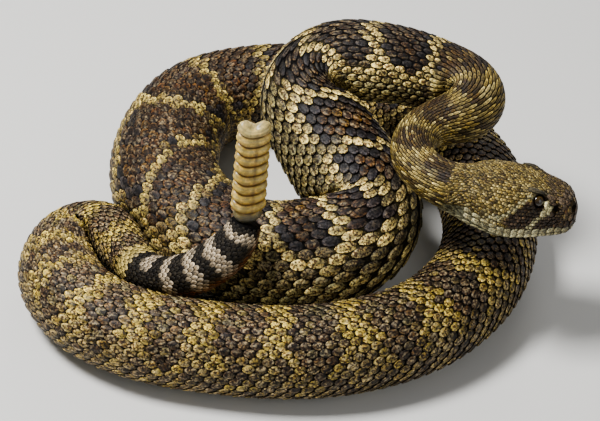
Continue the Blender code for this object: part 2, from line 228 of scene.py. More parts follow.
rows = np.array([row for stretch in ROUTE_MM.values() for row in stretch], float)
rows[:, 0] -= CENTRE_X_MM
rows[:, 1] -= CENTRE_Y_MM
raw = through(rows * MM)
raw_run = run_of(raw)
even = np.linspace(0, raw_run[-1], int(round(raw_run[-1] / MM)) + 1)
line = eased(at(even, raw_run, raw), even[1])
run = run_of(line)
heading = unit(np.gradient(line[:, :3], run, axis=0))
bending = np.gradient(heading, run, axis=0)
starts = {}
first_row = 0
for name, stretch in ROUTE_MM.items():
    starts[name] = run[np.linalg.norm(line[:, :3] - rows[first_row, :3] * MM, axis=1).argmin()]
    first_row += len(stretch)
BODY_END = starts["head"]
LENGTH = run[-1]
HEAD_LENGTH = LENGTH - BODY_END


def frames(distance):
    """Centre, half width, ahead, side and top directions and the line's turn, at distances along it.

    Top is straight up made square to the way ahead, and it leans to the left along the neck and head.
    """
    place = at(distance, run, line)
    ahead = unit(at(distance, run, heading))
    turn = at(distance, run, bending)
    turn -= (turn * ahead).sum(1)[:, None] * ahead
    top = unit(np.array([0.0, 0.0, 1.0]) - ahead[:, 2:] * ahead)
    side = np.cross(ahead, top)
    reach = np.clip((distance - starts["neck"]) / LEAN_OVER, 0, 1)
    lean = (HEAD_LEAN * reach**2 * (3 - 2 * reach))[:, None]
    return (
        place[:, :3],
        place[:, 3],
        ahead,
        side * np.cos(lean) + top * np.sin(lean),
        top * np.cos(lean) - side * np.sin(lean),
        turn,
    )


# The body's outer form: an oval a little wider than deep at each distance, pressed in on the inner side of
# a bend, flat where two lengths lie against each other and where it meets the floor.
AROUND = 240
WIDTH_SHARE = 1.02
DEPTH_SHARE = 0.96
BODY_STEP = 0.001
COARSE_STEP = 0.0025
COARSE_COLUMNS = 5
HALVINGS = 9
CREASE_START = 0.5
CREASE_END = 0.86
PRESS_GAP = 0.0006
FREE_RUN = 1.5
angle = np.linspace(-np.pi, np.pi, AROUND, endpoint=False)


def oval_offsets(distance, angles):
    """Offsets from the line: side times the sine of the angle from the top, top times its cosine.

    On the inner side of a bend an offset is squeezed by a hyperbolic tangent, so that it never reaches the
    bend's own centre.
    """
    centre, half, _, side, top, turn = frames(distance)
    across = half[:, None] * WIDTH_SHARE * np.sin(angles)
    upward = half[:, None] * DEPTH_SHARE * np.cos(angles)
    offset = across[:, :, None] * side[:, None, :] + upward[:, :, None] * top[:, None, :]
    bend = np.linalg.norm(turn, axis=1)
    inward = (turn / np.maximum(bend, 1e-6)[:, None])[:, None, :]
    along = (offset * inward).sum(2)
    limit = CREASE_END / np.maximum(bend, 1e-3)[:, None]
    start = CREASE_START * limit
    pressed = start + (limit - start) * np.tanh((along - start) / (limit - start))
    return centre, half, offset + np.where(along > start, pressed - along, 0)[:, :, None] * inward


def own_share(distance, angles):
    """How much of each offset stays nearer its own length of body than any other, by halving steps."""
    centre, half, offset = oval_offsets(distance, angles)
    other = run[::2]
    other_line = line[::2]
    far = np.abs(distance[:, None] - other[None, :]) > FREE_RUN * half[:, None]
    share = np.ones(offset.shape[:2])
    step = 0.5
    for _ in range(HALVINGS):
        point = centre[:, None, :] + share[:, :, None] * offset
        own = np.linalg.norm(share[:, :, None] * offset, axis=2)
        gap = np.linalg.norm(point[:, :, None, :] - other_line[None, None, :, :3], axis=3)
        gap = gap * (half[:, None] / other_line[None, :, 3])[:, None, :]
        gap = np.where(far[:, None, :], gap, 1.0).min(axis=2)
        crossed = own + PRESS_GAP > gap
        share = np.where(crossed, share - step, np.minimum(share + step, 1))
        step = step / 2
    return np.where(crossed, share - step, share)


def bilinear(table, row, column):
    """A table read between its points, its columns closed in a ring: four values shared by nearness."""
    low = np.clip(np.floor(row).astype(int), 0, len(table) - 2)
    left = np.floor(column).astype(int)
    down = (row - low)[..., None]
    over = (column - left)[..., None]
    left = left % table.shape[1]
    right = (left + 1) % table.shape[1]
    near = table[low, left] * (1 - over) + table[low, right] * over
    far = table[low + 1, left] * (1 - over) + table[low + 1, right] * over
    return near * (1 - down) + far * down


coarse_run = np.linspace(0, BODY_END, int(BODY_END / COARSE_STEP))
coarse_share = own_share(coarse_run, angle[::COARSE_COLUMNS])[:, :, None]
body_run = np.arange(0, BODY_END - BODY_STEP / 2, BODY_STEP)
body_row = np.interp(body_run, coarse_run, np.arange(len(coarse_run)))
fine_row, fine_column = np.meshgrid(body_row, np.arange(AROUND) / COARSE_COLUMNS, indexing="ij")
fine_share = bilinear(coarse_share, fine_row, fine_column)
body_centre, _, body_offset = oval_offsets(body_run, angle)
body_form = body_centre[:, None, :] + fine_share * body_offset
body_form[:, :, 2] = np.maximum(body_form[:, :, 2], 0)

# The head's outer form: a broad spade with a blunt snout, a flat crown, full cheeks and an upper lip that
# overhangs the jaw, in nineteen columns from crown to chin. A row holds a share of the head's length, then
# half width, crown, chin and lip from its middle line.
HEAD_MM = (
    (0.00, 10.2, 9.6, 9.6, -1.0),
    (0.08, 11.6, 10.0, 10.0, -1.6),
    (0.20, 16.8, 11.0, 10.8, -2.8),
    (0.32, 19.0, 11.4, 11.8, -5.2),
    (0.45, 18.6, 11.2, 12.2, -7.0),
    (0.60, 16.2, 10.6, 11.6, -7.2),
    (0.72, 14.0, 9.9, 10.8, -6.8),
    (0.84, 12.0, 8.8, 9.8, -6.2),
    (0.93, 10.4, 7.4, 8.6, -5.4),
    (1.00, 8.6, 5.4, 7.0, -4.6),
)
CROWN_DEG = (90, 74, 60, 48, 39, 31, 23, 14, 4)
CHEEK_FALL = (0.4, 0.78, 0.965)
CHEEK_SHARE = (1.0, 0.985, 0.95)
JAW_DEG = (-8, -24, -42, -60, -76, -90)
JAW_POWER = 2 / 2.3
LIP_SHARE = 0.94
LIP_COLUMN = 12
MOUTH_DEPTH = 0.0011
MOUTH_CORNER = 0.13
MOUTH_FADE = 0.12
NAPE_BLEND = 0.16
SNOUT_START = 0.88
SNOUT_POWER = 2.6
SNOUT_TIP_DOWN = 0.0018
HEAD_STEP = 0.0004
HEAD_SOFTEN = 0.035
SNOUT_ROWS = 44
SNOUT_CLOSE_DEG = 86
CHEEK_COLUMN = 8.5
CHEEK_COLUMNS = 2.2
PER_COLUMN = 12


def bell(value, middle, width, height=1.0):
    """A smooth rise of one height about one value."""
    return height * np.exp(-(((value - middle) / width) ** 2))


def smooth_step(value, low, high):
    """Nought below low, one above high, and a smooth S between."""
    share = np.clip((value - low) / (high - low), 0, 1)
    return share * share * (3 - 2 * share)


def between(value, start, full, fading, gone):
    """Nought up to start, one from full to fading, nought again from gone, and a smooth S between."""
    return smooth_step(value, start, full) * (1 - smooth_step(value, fading, gone))


def head_columns(share, neck):
    """Across and up at nineteen columns for each share of the head, blended into the neck's oval behind."""
    table = np.array(HEAD_MM).T
    nearby = share[:, None] + np.linspace(-HEAD_SOFTEN, HEAD_SOFTEN, 7)
    softened = [np.interp(nearby, table[0], column).mean(1)[:, None] for column in table[1:]]
    half, crown, chin, lip = np.array(softened) * MM
    boxy = 2 / (2.0 + 1.1 * np.clip((share - 0.1) / 0.5, 0, 1)[:, None])
    crown_angle = np.radians(CROWN_DEG)
    jaw_angle = np.radians(JAW_DEG)
    opening = np.clip((share - MOUTH_CORNER) / MOUTH_FADE, 0, 1) * np.clip((1 - share) / 0.02, 0, 1)
    groove = half * LIP_SHARE - MOUTH_DEPTH * opening[:, None]
    jaw = half * (LIP_SHARE - 0.01 - 0.06 * opening[:, None])
    across = np.hstack([
        half * np.cos(crown_angle) ** boxy,
        half * np.array(CHEEK_SHARE),
        groove,
        jaw * np.cos(jaw_angle) ** JAW_POWER,
    ])
    upward = np.hstack([
        crown * np.sin(crown_angle) ** boxy,
        lip * np.array(CHEEK_FALL),
        lip,
        lip - 0.0004 - (chin + lip) * np.abs(np.sin(jaw_angle)) ** JAW_POWER,
    ])
    oval = np.linspace(np.pi / 2, -np.pi / 2, across.shape[1])
    blend = smooth_step(share, 0, NAPE_BLEND)[:, None]
    across = across * blend + neck[:, None] * WIDTH_SHARE * np.cos(oval) * (1 - blend)
    upward = upward * blend + neck[:, None] * DEPTH_SHARE * np.sin(oval) * (1 - blend)
    return across, upward


def along_ring(columns, mirror):
    """Values between the columns of a half ring: the cubic through neighbours, mirrored past both ends."""
    padded = np.hstack([mirror * columns[:, 1:2], columns, mirror * columns[:, -2:-1]])
    share = np.linspace(0, 1, PER_COLUMN, endpoint=False)
    a, b, c, d = [padded[:, k : k + columns.shape[1] - 1, None] for k in range(4)]
    return np.hstack([cubic(a, b, c, d, share).reshape(len(columns), -1), columns[:, -1:]])


closing_angle = np.linspace(0, np.radians(SNOUT_CLOSE_DEG), SNOUT_ROWS)
closing = np.sin(closing_angle) ** (2 / SNOUT_POWER)
shrink = np.cos(closing_angle) ** (2 / SNOUT_POWER)
straight = np.arange(0, SNOUT_START, HEAD_STEP / HEAD_LENGTH)
head_share = np.concatenate([straight, SNOUT_START + (1 - SNOUT_START) * closing])
shrink = np.concatenate([np.ones(len(straight)), shrink])[:, None]
head_run = BODY_END + head_share * HEAD_LENGTH
head_centre, head_neck, _, head_side, head_top, _ = frames(head_run)
column_across, column_up = head_columns(head_share, head_neck)
cheek = bell(np.arange(column_across.shape[1]), CHEEK_COLUMN, CHEEK_COLUMNS)
swell = bell(head_share, 0.36, 0.13, 0.0007) - bell(head_share, 0.82, 0.07, 0.0008)
dense_across = along_ring(column_across * shrink + swell[:, None] * cheek, -1)
dense_up = along_ring((column_up + SNOUT_TIP_DOWN) * shrink**0.8 - SNOUT_TIP_DOWN, 1)
half_columns = AROUND // 2
lip_column = half_columns * 2 // 3
lip_dense = LIP_COLUMN * PER_COLUMN
dense_run = np.cumsum(np.hypot(np.diff(dense_across, axis=1), np.diff(dense_up, axis=1)), axis=1)
dense_run = np.hstack([np.zeros((len(dense_run), 1)), dense_run])
ring_across = np.empty((len(head_share), half_columns + 1))
ring_up = np.empty_like(ring_across)
for row, reach in enumerate(dense_run):
    upper = np.linspace(0, reach[lip_dense], lip_column + 1)
    lower = np.linspace(reach[lip_dense], reach[-1], half_columns - lip_column + 1)
    wanted = np.concatenate([upper, lower[1:]])
    ring_across[row] = np.interp(wanted, reach, dense_across[row])
    ring_up[row] = np.interp(wanted, reach, dense_up[row])
ring_across = np.hstack([-ring_across[:, :0:-1], ring_across[:, :-1]])
ring_up = np.hstack([ring_up[:, :0:-1], ring_up[:, :-1]])
head_form = (
    head_centre[:, None, :]
    + ring_across[:, :, None] * head_side[:, None, :]
    + ring_up[:, :, None] * head_top[:, None, :]
)


def outward_of(table):
    """One long, square to the table's surface: the cross product of its steps around and along."""
    around = np.roll(table, -1, axis=1) - np.roll(table, 1, axis=1)
    return unit(np.cross(around, np.gradient(table, axis=0)))


# The head's own folds: the brow ridge and the rim over each eye, the socket that the eye lies in, the heat
# pit, the nostril, and the line of the mouth, all sunk or raised in the same skin.
EYE_RADIUS = 0.0026
EYE_AT = (0.631, 0.0120, 0.0064)
EYE_LOOK = (0.85, 0.42, 0.30)
SOCKET_RADIUS = 0.0028
LID_OPENING = 0.0021
LID_EDGE = 0.0002
LID_RIM = (0.0030, 0.0008, 0.0006)
BROW_AT = (0.626, 0.0111, 0.0092)
BROW_SIZE = (0.0044, 0.0024, 0.004)
BROW_RISE = 0.0012
BROW_FLARE = 0.45
NOTCH_TURN = 0.022
NOTCH_DEPTH = 0.0006
LIP_ANGLE = 2 * np.pi / 3
# The heat pit, then the nostril: where it is, its radius, its depth and how far it looks ahead.
HOLLOWS = (
    ((0.785, 0.0121, 0.0040), 0.0012, 0.0018, 0.5),
    ((0.93, 0.0086, 0.0042), 0.00085, 0.0013, 0.3),
)


def head_spot(share, out, up):
    """A place on the head at a share of its length, out and up from its middle line, and its three ways."""
    centre, _, ahead, side, top, _ = frames(np.array([BODY_END + share * HEAD_LENGTH]))
    return centre[0] + out * side[0] + up * top[0], ahead[0], side[0], top[0]


def about(points, spot, way):
    """How far points lie along a way from a spot, and how far from the line through it."""
    offset = points - spot
    along = offset @ way
    return along, np.linalg.norm(offset - along[..., None] * way, axis=-1)


eyes = {}
opening = between(head_share, MOUTH_CORNER, MOUTH_CORNER + MOUTH_FADE, 0.985, 1.0)
notch = bell(np.abs(angle)[None, :], LIP_ANGLE, NOTCH_TURN, NOTCH_DEPTH) * opening[:, None]
head_form = head_form - notch[:, :, None] * outward_of(head_form)
for hand, sign in (("right", 1), ("left", -1)):
    near = (sign * ring_across > 0.002)[:, :, None]
    spot, ahead, side, top = head_spot(BROW_AT[0], sign * BROW_AT[1], BROW_AT[2])
    offset = head_form - spot
    brow = BROW_RISE * bell(offset @ ahead, 0, BROW_SIZE[0])
    brow = brow * bell(offset @ side, 0, BROW_SIZE[1]) * bell(offset @ top, 0, BROW_SIZE[2])
    head_form = head_form + near * brow[:, :, None] * (top + BROW_FLARE * sign * side)
    eye, ahead, side, top = head_spot(EYE_AT[0], sign * EYE_AT[1], EYE_AT[2])
    look = unit(sign * side * EYE_LOOK[0] + top * EYE_LOOK[1] + ahead * EYE_LOOK[2])
    eyes[hand] = (eye, look, top)
    _, away = about(head_form, eye, look)
    head_form = head_form + near * bell(away, *LID_RIM)[:, :, None] * look
    along, away = about(head_form, eye, look)
    bottom = -np.sqrt(np.maximum(SOCKET_RADIUS**2 - away**2, 0))
    sunk = (bottom - along) * (1 - smooth_step(away, LID_OPENING - LID_EDGE, LID_OPENING + LID_EDGE))
    head_form = head_form + near * sunk[:, :, None] * look
    for place, radius, depth, forward in HOLLOWS:
        spot, ahead, side, top = head_spot(place[0], sign * place[1], place[2])
        aim = unit(sign * side + forward * ahead)
        _, away = about(head_form, spot, aim)
        hollow = bell(away**2, 0, radius**2, depth) - bell(away, 1.5 * radius, 0.5 * radius, 0.0002)
        head_form = head_form - near * hollow[:, :, None] * aim

# The whole outer form in one table, with the directions that point out of it.
form_run = np.concatenate([body_run, head_run])
form = np.concatenate([body_form, head_form])
form_out = outward_of(form)

# The hide under the scales. It lies inside the outer form by the depth of the scales and is one closed
# skin, from the root of the rattle to the snout, so that no seam shows between the lengths of the body.
COAT_DEPTH = 0.0009
HEAD_DEPTH = 0.0004
WIDEST_HALF = 0.02
SKIN_COLUMN_STEP = 4
SKIN_ROW_STEP = 2
half_along = np.interp(form_run, run, line[:, 3])
coat_depth = COAT_DEPTH * np.minimum(half_along / WIDEST_HALF, 1)
coat_depth = np.where(form_run < BODY_END, np.maximum(coat_depth, HEAD_DEPTH), HEAD_DEPTH)
skin = form - coat_depth[:, None, None] * form_out
skin_out = outward_of(skin)
step_along = np.linalg.norm(np.gradient(skin, axis=0), axis=2) / np.gradient(form_run)[:, None]
across_two = np.roll(skin, -1, axis=1) - np.roll(skin, 1, axis=1)
step_around = np.linalg.norm(across_two, axis=2) * AROUND / (4 * np.pi)
skin_table = np.concatenate([skin, skin_out, step_along[:, :, None], step_around[:, :, None]], axis=2)


def read_skin(distance, angles):
    """The skin's point, outward direction and metres per unit of distance and of angle, between columns."""
    row = np.interp(distance, form_run, np.arange(len(form_run)))
    column = (angles + np.pi) / (2 * np.pi) * AROUND
    found = bilinear(skin_table, row, column)
    return found[..., :3], unit(found[..., 3:6]), found[..., 6], found[..., 7]


def tinted_mesh(name, points, loops, sizes, tones, flecks, patches=None):
    """A smooth mesh from whole arrays: points, corners face by face, corners in each face, a colour and a
    measure of flecks at each point, and the bake map at each corner where there is one."""
    mesh = bpy.data.meshes.new(name)
    mesh.vertices.add(len(points))
    mesh.vertices.foreach_set("co", np.ascontiguousarray(points, np.float32).ravel())
    mesh.loops.add(len(loops))
    mesh.loops.foreach_set("vertex_index", loops.astype(np.int32))
    mesh.polygons.add(len(sizes))
    mesh.polygons.foreach_set("loop_start", np.concatenate([[0], np.cumsum(sizes)[:-1]]).astype(np.int32))
    mesh.update(calc_edges=True)
    mesh.shade_smooth()
    tone = mesh.attributes.new("tone", "FLOAT_COLOR", "POINT")
    tone.data.foreach_set("color", np.c_[tones, np.ones(len(tones))].astype(np.float32).ravel())
    fleck = mesh.attributes.new("fleck", "FLOAT", "POINT")
    fleck.data.foreach_set("value", flecks.astype(np.float32))
    if patches is not None:
        mesh.uv_layers.new(name="OFBake").data.foreach_set("uv", patches.astype(np.float32).ravel())
    piece = bpy.data.objects.new(name, mesh)
    scene.collection.objects.link(piece)
    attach(piece, "root")
    return piece


# The markings, which hide and scales share. Down the back runs a row of brown lozenges with blue-black
# edges inside a border of cream scales. Towards the tail they turn into crossbands, and the tail itself is
# ringed black and ash.
BAR_MM = np.array([
    63, 79, 97, 115, 132, 149, 170, 193, 218, 245, 275, 304, 331,
    560, 592, 629, 662, 699, 724, 743, 764, 793, 814, 835, 860, 886, 898, 920, 939, 960,
])
HIDDEN_BARS = 7
BAR_COUNT = np.arange(len(BAR_MM)) + HIDDEN_BARS * (BAR_MM > 400)
SLANT_MM = (330, 560, 592, 629, 662, 699, 724, 743, 764, 793, 814, 835, 860, 880)
SLANT_LEFT = (0, -0.7, 0.8, 3.8, 1.3, -0.5, -0.5, -0.8, -1.4, -0.8, -0.8, -0.8, -0.8, 0)
SLANT_RIGHT = (0, -0.6, -1.2, 6.0, 0.0, 0.5, 0.8, -0.2, -1.8, -1.0, 1.5, 1.6, 0.7, 0)
SLANT_MOST_MM = 22
ROLL = ((700, 735, 760, 795, 815), (0, 0.6, 1.0, 1.0, 0))
HALF_ROWS = ((75, 300, 450, 560, 660, 700, 790, 830), (14.0, 11.5, 7.4, 9.5, 8.5, 5.8, 5.8, 8.0))
SQUARENESS = ((330, 540, 700, 730, 870), (1.2, 2.2, 2.6, 3.6, 3.0))
BORDER_MM = 2.6
RING_MM = (4.9, 17.1, 28.4, 40.8, 52.6, 64.4)
RING_HALF_MM = (1.8, 2.9, 2.8, 2.6, 3.0, 3.6)
TAIL_MM = 62.0

# The stretches of the body whose ground and lozenges differ, in millimetres from the root of the rattle.
# The shaded hind stretch carries a painted shadow of the head, neck and raised loop, and the low flanks
# of the middle a painted light over their own paler colour.
HIND_MM = (300, 470)
SHADED_HIND_MM = (215, 260)
MIDDLE_MM = (420, 500, 640, 700)
PALE_AND_LIT_FLANK_MM = (640, 680, 850, 870)
RAISED_MM = (725, 745, 795, 812)
FORE_MM = (785, 805, 862, 885)
NECK_MM = (862, 885)


def paint(red, green, blue):
    """The light of a screen colour of 0 to 255, made deeper and stronger in hue, as the view softens both."""
    share = np.array([red, green, blue]) / 255
    light = np.where(share <= 0.04045, share / 12.92, ((share + 0.055) / 1.055) ** 2.4)
    return np.maximum(light.mean() + 1.4 * (light - light.mean()), 0.0015) * 0.5


def mix(under, over, share):
    """One colour laid over another by a share."""
    share = np.clip(share, 0, 1)[..., None]
    return under * (1 - share) + over * share


def layered(under, *layers):
    """Colours laid over a first one in turn, each by its own share."""
    for over, share in layers:
        under = mix(under, over, share)
    return under


def scaled(colour, share):
    """A colour made brighter or darker by a share at each place."""
    return colour * share[..., None]


def more_luck(luck):
    """Two further draws from 0 to 1, worked out from the first."""
    return luck * 7.31 % 1, luck * 23.7 % 1


BROWN = paint(66, 47, 30)
RUST = paint(112, 72, 42)
OCHRE = paint(136, 110, 60)
BLUE_BLACK = paint(46, 48, 56)
CREAM = paint(232, 216, 158)
TAN = paint(128, 118, 90)
GOLD = paint(142, 118, 66)
YELLOW = paint(200, 182, 112)
DUSK = paint(88, 74, 62)
OLIVE = paint(130, 114, 68)
MOSS_GREY = paint(108, 106, 82)
BELLY_CREAM = paint(172, 168, 140)
LIP_PALE = paint(214, 214, 184)
CHEEK_PALE = paint(236, 234, 196)
CROWN = paint(148, 133, 86)
SNOUT = paint(98, 88, 78)
SHIELD_GREY = paint(84, 80, 62)
ASH = paint(196, 184, 166)
STRAW = paint(206, 194, 148)
JET = paint(22, 18, 19)
ORANGE = paint(118, 76, 34)


def lozenge_at(mm, row, ragged):
    """How far along its lozenge a place lies, its rows off the back, the lozenge's measure and border.

    The measure joins the share of half a length along and the share of half a width across by a power, so
    that the corners are square where the power is high: nought at the middle, one at the outline. The
    border is one scale wide. The bars between the lozenges slant by so many millimetres for each row to
    either side, and where the body rolls over, the middle of the pattern lies off the top.
    """
    slant = np.where(row < 0, np.interp(mm, SLANT_MM, SLANT_LEFT), np.interp(mm, SLANT_MM, SLANT_RIGHT)) * row
    phase = np.interp(mm - np.clip(slant, -SLANT_MOST_MM, SLANT_MOST_MM), BAR_MM, BAR_COUNT)
    off = (phase - np.floor(phase) - 0.5) * 2
    level = np.abs(row - np.interp(mm, *ROLL))
    half_rows = np.interp(mm, *HALF_ROWS)
    power = np.interp(mm, *SQUARENESS)
    measure = (np.abs(off) ** power + (level / half_rows) ** power) ** (1 / power) + 0.6 * ragged
    half_length = np.interp(mm, BAR_MM[1:] * 0.5 + BAR_MM[:-1] * 0.5, np.diff(BAR_MM)) / 2
    return off, level, measure, BORDER_MM / np.minimum(half_length, 18)


def ringed(colour, mm, row, ragged, third):
    """The tail's rings over a colour: ash inside each ring's half width and jet outside, edges wandering.

    The ring nearest the body is yellow, and the lowest rows are orange.
    """
    wander = 0.5 * np.sin(row * 0.7) + 1.6 * ragged
    inside = (np.array(RING_HALF_MM) - np.abs((mm + wander)[..., None] - np.array(RING_MM))).max(-1)
    one_side = np.where((mm > 47) & (mm < 58), smooth_step(row, -4.5, -2.5), 1.0)
    white = smooth_step(inside, -0.3, 0.3) * one_side
    rings = layered(
        JET * 0.5,
        (mix(ASH * 1.2, DUSK, (1 - smooth_step(third, 0.05, 0.2)) * 0.5), white),
        (YELLOW, smooth_step(mm, 57, 62) * white * 0.8),
        (ORANGE, smooth_step(np.abs(row), 9.5, 12.5) * 0.85),
    )
    return mix(colour, rings, 1 - smooth_step(mm + wander, TAIL_MM + 5, TAIL_MM + 6.5))


def marking(distance, row, luck):
    """Colour at a distance and a row from the middle of the back. luck, from 0 to 1, breaks up the edges.

    Over the mottled ground lie a lozenge's cream border, its dark edge and its brown heart, each where the
    lozenge's measure says, then the hind body's yellow bands, the neck's blotches, the pale lowest rows and
    the tail's rings. The hind body's right-hand length is darkened by a painted shadow of the head, neck and
    raised loop, and the low flanks of the middle are lightened, their own paler colour with painted light.
    """
    mm = distance * 1000
    second, third = more_luck(luck)
    ragged = (luck - 0.5) * 0.2
    off, level, lozenge, thick = lozenge_at(mm, row, ragged)
    hind = 1 - smooth_step(mm, *HIND_MM)
    # Painted shadow of the head, neck and raised loop over the hind body's right-hand length.
    shaded_hind = smooth_step(mm, *SHADED_HIND_MM) * hind
    middle = between(mm, *MIDDLE_MM)
    fore = between(mm, *FORE_MM)
    raised = between(mm, *RAISED_MM)
    pale_and_lit_flank = between(mm, *PALE_AND_LIT_FLANK_MM) * (1 - raised)
    ground = layered(
        TAN,
        (MOSS_GREY, smooth_step(second, 0.3, 0.8) * 0.8),
        (GOLD, middle * 0.7),
        (DUSK * 1.15, hind * 0.8),
        (YELLOW, smooth_step(third, 0.72, 0.9) * (0.25 + 0.35 * hind)),
        (BROWN * 0.7, (1 - smooth_step(third, 0.1, 0.3)) * 0.6),
    )
    # The ground is darker along the middle and fore stretches, and on the hind's right-hand length as painted
    # shadow.
    ground = scaled(ground, 1 - 0.4 * middle - 0.42 * shaded_hind - 0.12 * fore)
    # The low flanks of the middle turn mossy and lighter: their own paler colour with painted light where the
    # coils shade them.
    ground = mix(ground, MOSS_GREY * 1.3, 0.6 * pale_and_lit_flank * smooth_step(level, 6, 9))
    ground = scaled(ground, 1 + 2.8 * smooth_step(level, 6.8, 9.8) * pale_and_lit_flank)
    spots = bell(np.abs(off), 1, 0.42) * bell(level, 9, 1.7) + bell(off, 0, 0.4) * bell(level, 11.6, 1.3)
    spots = spots * (0.85 - 0.4 * hind) * (1 - raised) * (1 - 0.7 * pale_and_lit_flank)
    cream = mix(CREAM, YELLOW, np.maximum(hind, 0.5 * middle))
    # Cream scales on those flanks are lighter too, partly painted light.
    cream = scaled(cream, 1 - 0.3 * middle + 0.4 * pale_and_lit_flank * smooth_step(level, 4, 7))
    border = between(lozenge, 0.97 - thick, 1.03 - thick, 1.04, 1.10)
    border = border * (1 - 0.6 * smooth_step(level, 6.5, 9)) * (0.6 + 0.4 * smooth_step(second, 0.05, 0.25))
    brown_share = 0.2 + 0.4 * hind + (0.6 * middle + 0.4 * fore) * smooth_step(second, 0.3, 0.6)
    brown_share = brown_share + 0.5 * (1 - raised) * smooth_step(second, 0.25, 0.5)
    edge = scaled(mix(BLUE_BLACK, BROWN * 0.8, brown_share), 1 - 0.35 * middle - 0.45 * fore)
    dark = 1 - smooth_step(lozenge, 0.95 - thick, 1.0 - thick)
    moss = mix(MOSS_GREY, YELLOW, smooth_step(luck, 0.5, 1.0) * 0.5)
    inner = layered(
        BROWN,
        (OCHRE, smooth_step(second, 0.62, 0.85) * 0.4 * (1 - 0.6 * middle - 0.6 * fore)),
        (RUST, smooth_step(third, 0.8, 0.95) * 0.25),
        (DUSK, hind * 0.6),
        (moss, hind * smooth_step(third, 0.6, 0.8) * 0.75),
        (BLUE_BLACK, (1 - smooth_step(second, 0.05, 0.15)) * 0.5),
    )
    # The lozenge hearts are darker likewise; on the hind's right-hand length this is painted shadow.
    inner = scaled(inner, 1 - 0.2 * middle - 0.45 * fore - 0.35 * shaded_hind)
    heart = 1 - smooth_step(lozenge, 0.92 - 2.3 * thick, 1.02 - 2.3 * thick)
    band = smooth_step(np.abs(off) + 2.6 * ragged, 0.60, 0.80) * (0.45 + 0.55 * smooth_step(second, 0.1, 0.4))
    pale_band = mix(YELLOW * 1.05, TAN * 1.35, smooth_step(level, 3, 7) * 0.8)
    colour = layered(
        ground,
        (mix(BROWN, BLUE_BLACK, 0.5) * 0.7, spots),
        (MOSS_GREY * 1.3, raised * 0.5),
        (cream, border * (1 - 0.55 * hind)),
        (edge, dark * (1 - 0.35 * hind)),
        (inner, heart),
        (pale_band, hind * band * (1 - smooth_step(level, 3, 10) * 0.5)),
    )
    # Darker about 300 mm from the rattle's root: painted shadow of the head and neck above this length.
    colour = scaled(colour, 1 - 0.2 * bell(mm, 300, 60))
    blotched = layered(
        OLIVE,
        (STRAW, smooth_step(third, 0.5, 0.9) * 0.6),
        (BROWN * 0.6, (1 - smooth_step(lozenge, 0.60, 0.85)) * 0.8),
        (BROWN * 0.4, (1 - smooth_step(second, 0.2, 0.35)) * 0.9),
        (STRAW * 1.3, smooth_step(second, 0.85, 0.95) * 0.7),
    )
    colour = mix(colour, blotched * 1.2, smooth_step(mm, *NECK_MM) * 0.8)
    colour = mix(colour, BELLY_CREAM, smooth_step(level, 12.4, 14.0) * 0.7)
    return ringed(colour, mm, row, ragged, third)


# The courses of the head's lines, as shares of its length and turns in degrees from the middle of the
# crown: the pale line behind the eye, the mask's lower edge, and, from turn to share, the pale line before
# the eye.
LINE_BEHIND = ((0.36, 0.39, 0.46, 0.53, 0.57, 0.62), (92.0, 86.0, 72.5, 59.0, 53.0, 48.0))
MASK_LOWER = ((0.37, 0.44, 0.53, 0.58, 0.63, 0.69), (97.0, 101.0, 104.0, 100.0, 90.0, 73.0))
LINE_BEFORE = ((62.0, 76.0, 84.0, 92.0, 104.0, 110.0), (0.735, 0.70, 0.675, 0.645, 0.60, 0.585))
LINE_HALF_TURN = 4.2
LINE_HALF_SHARE = 0.03


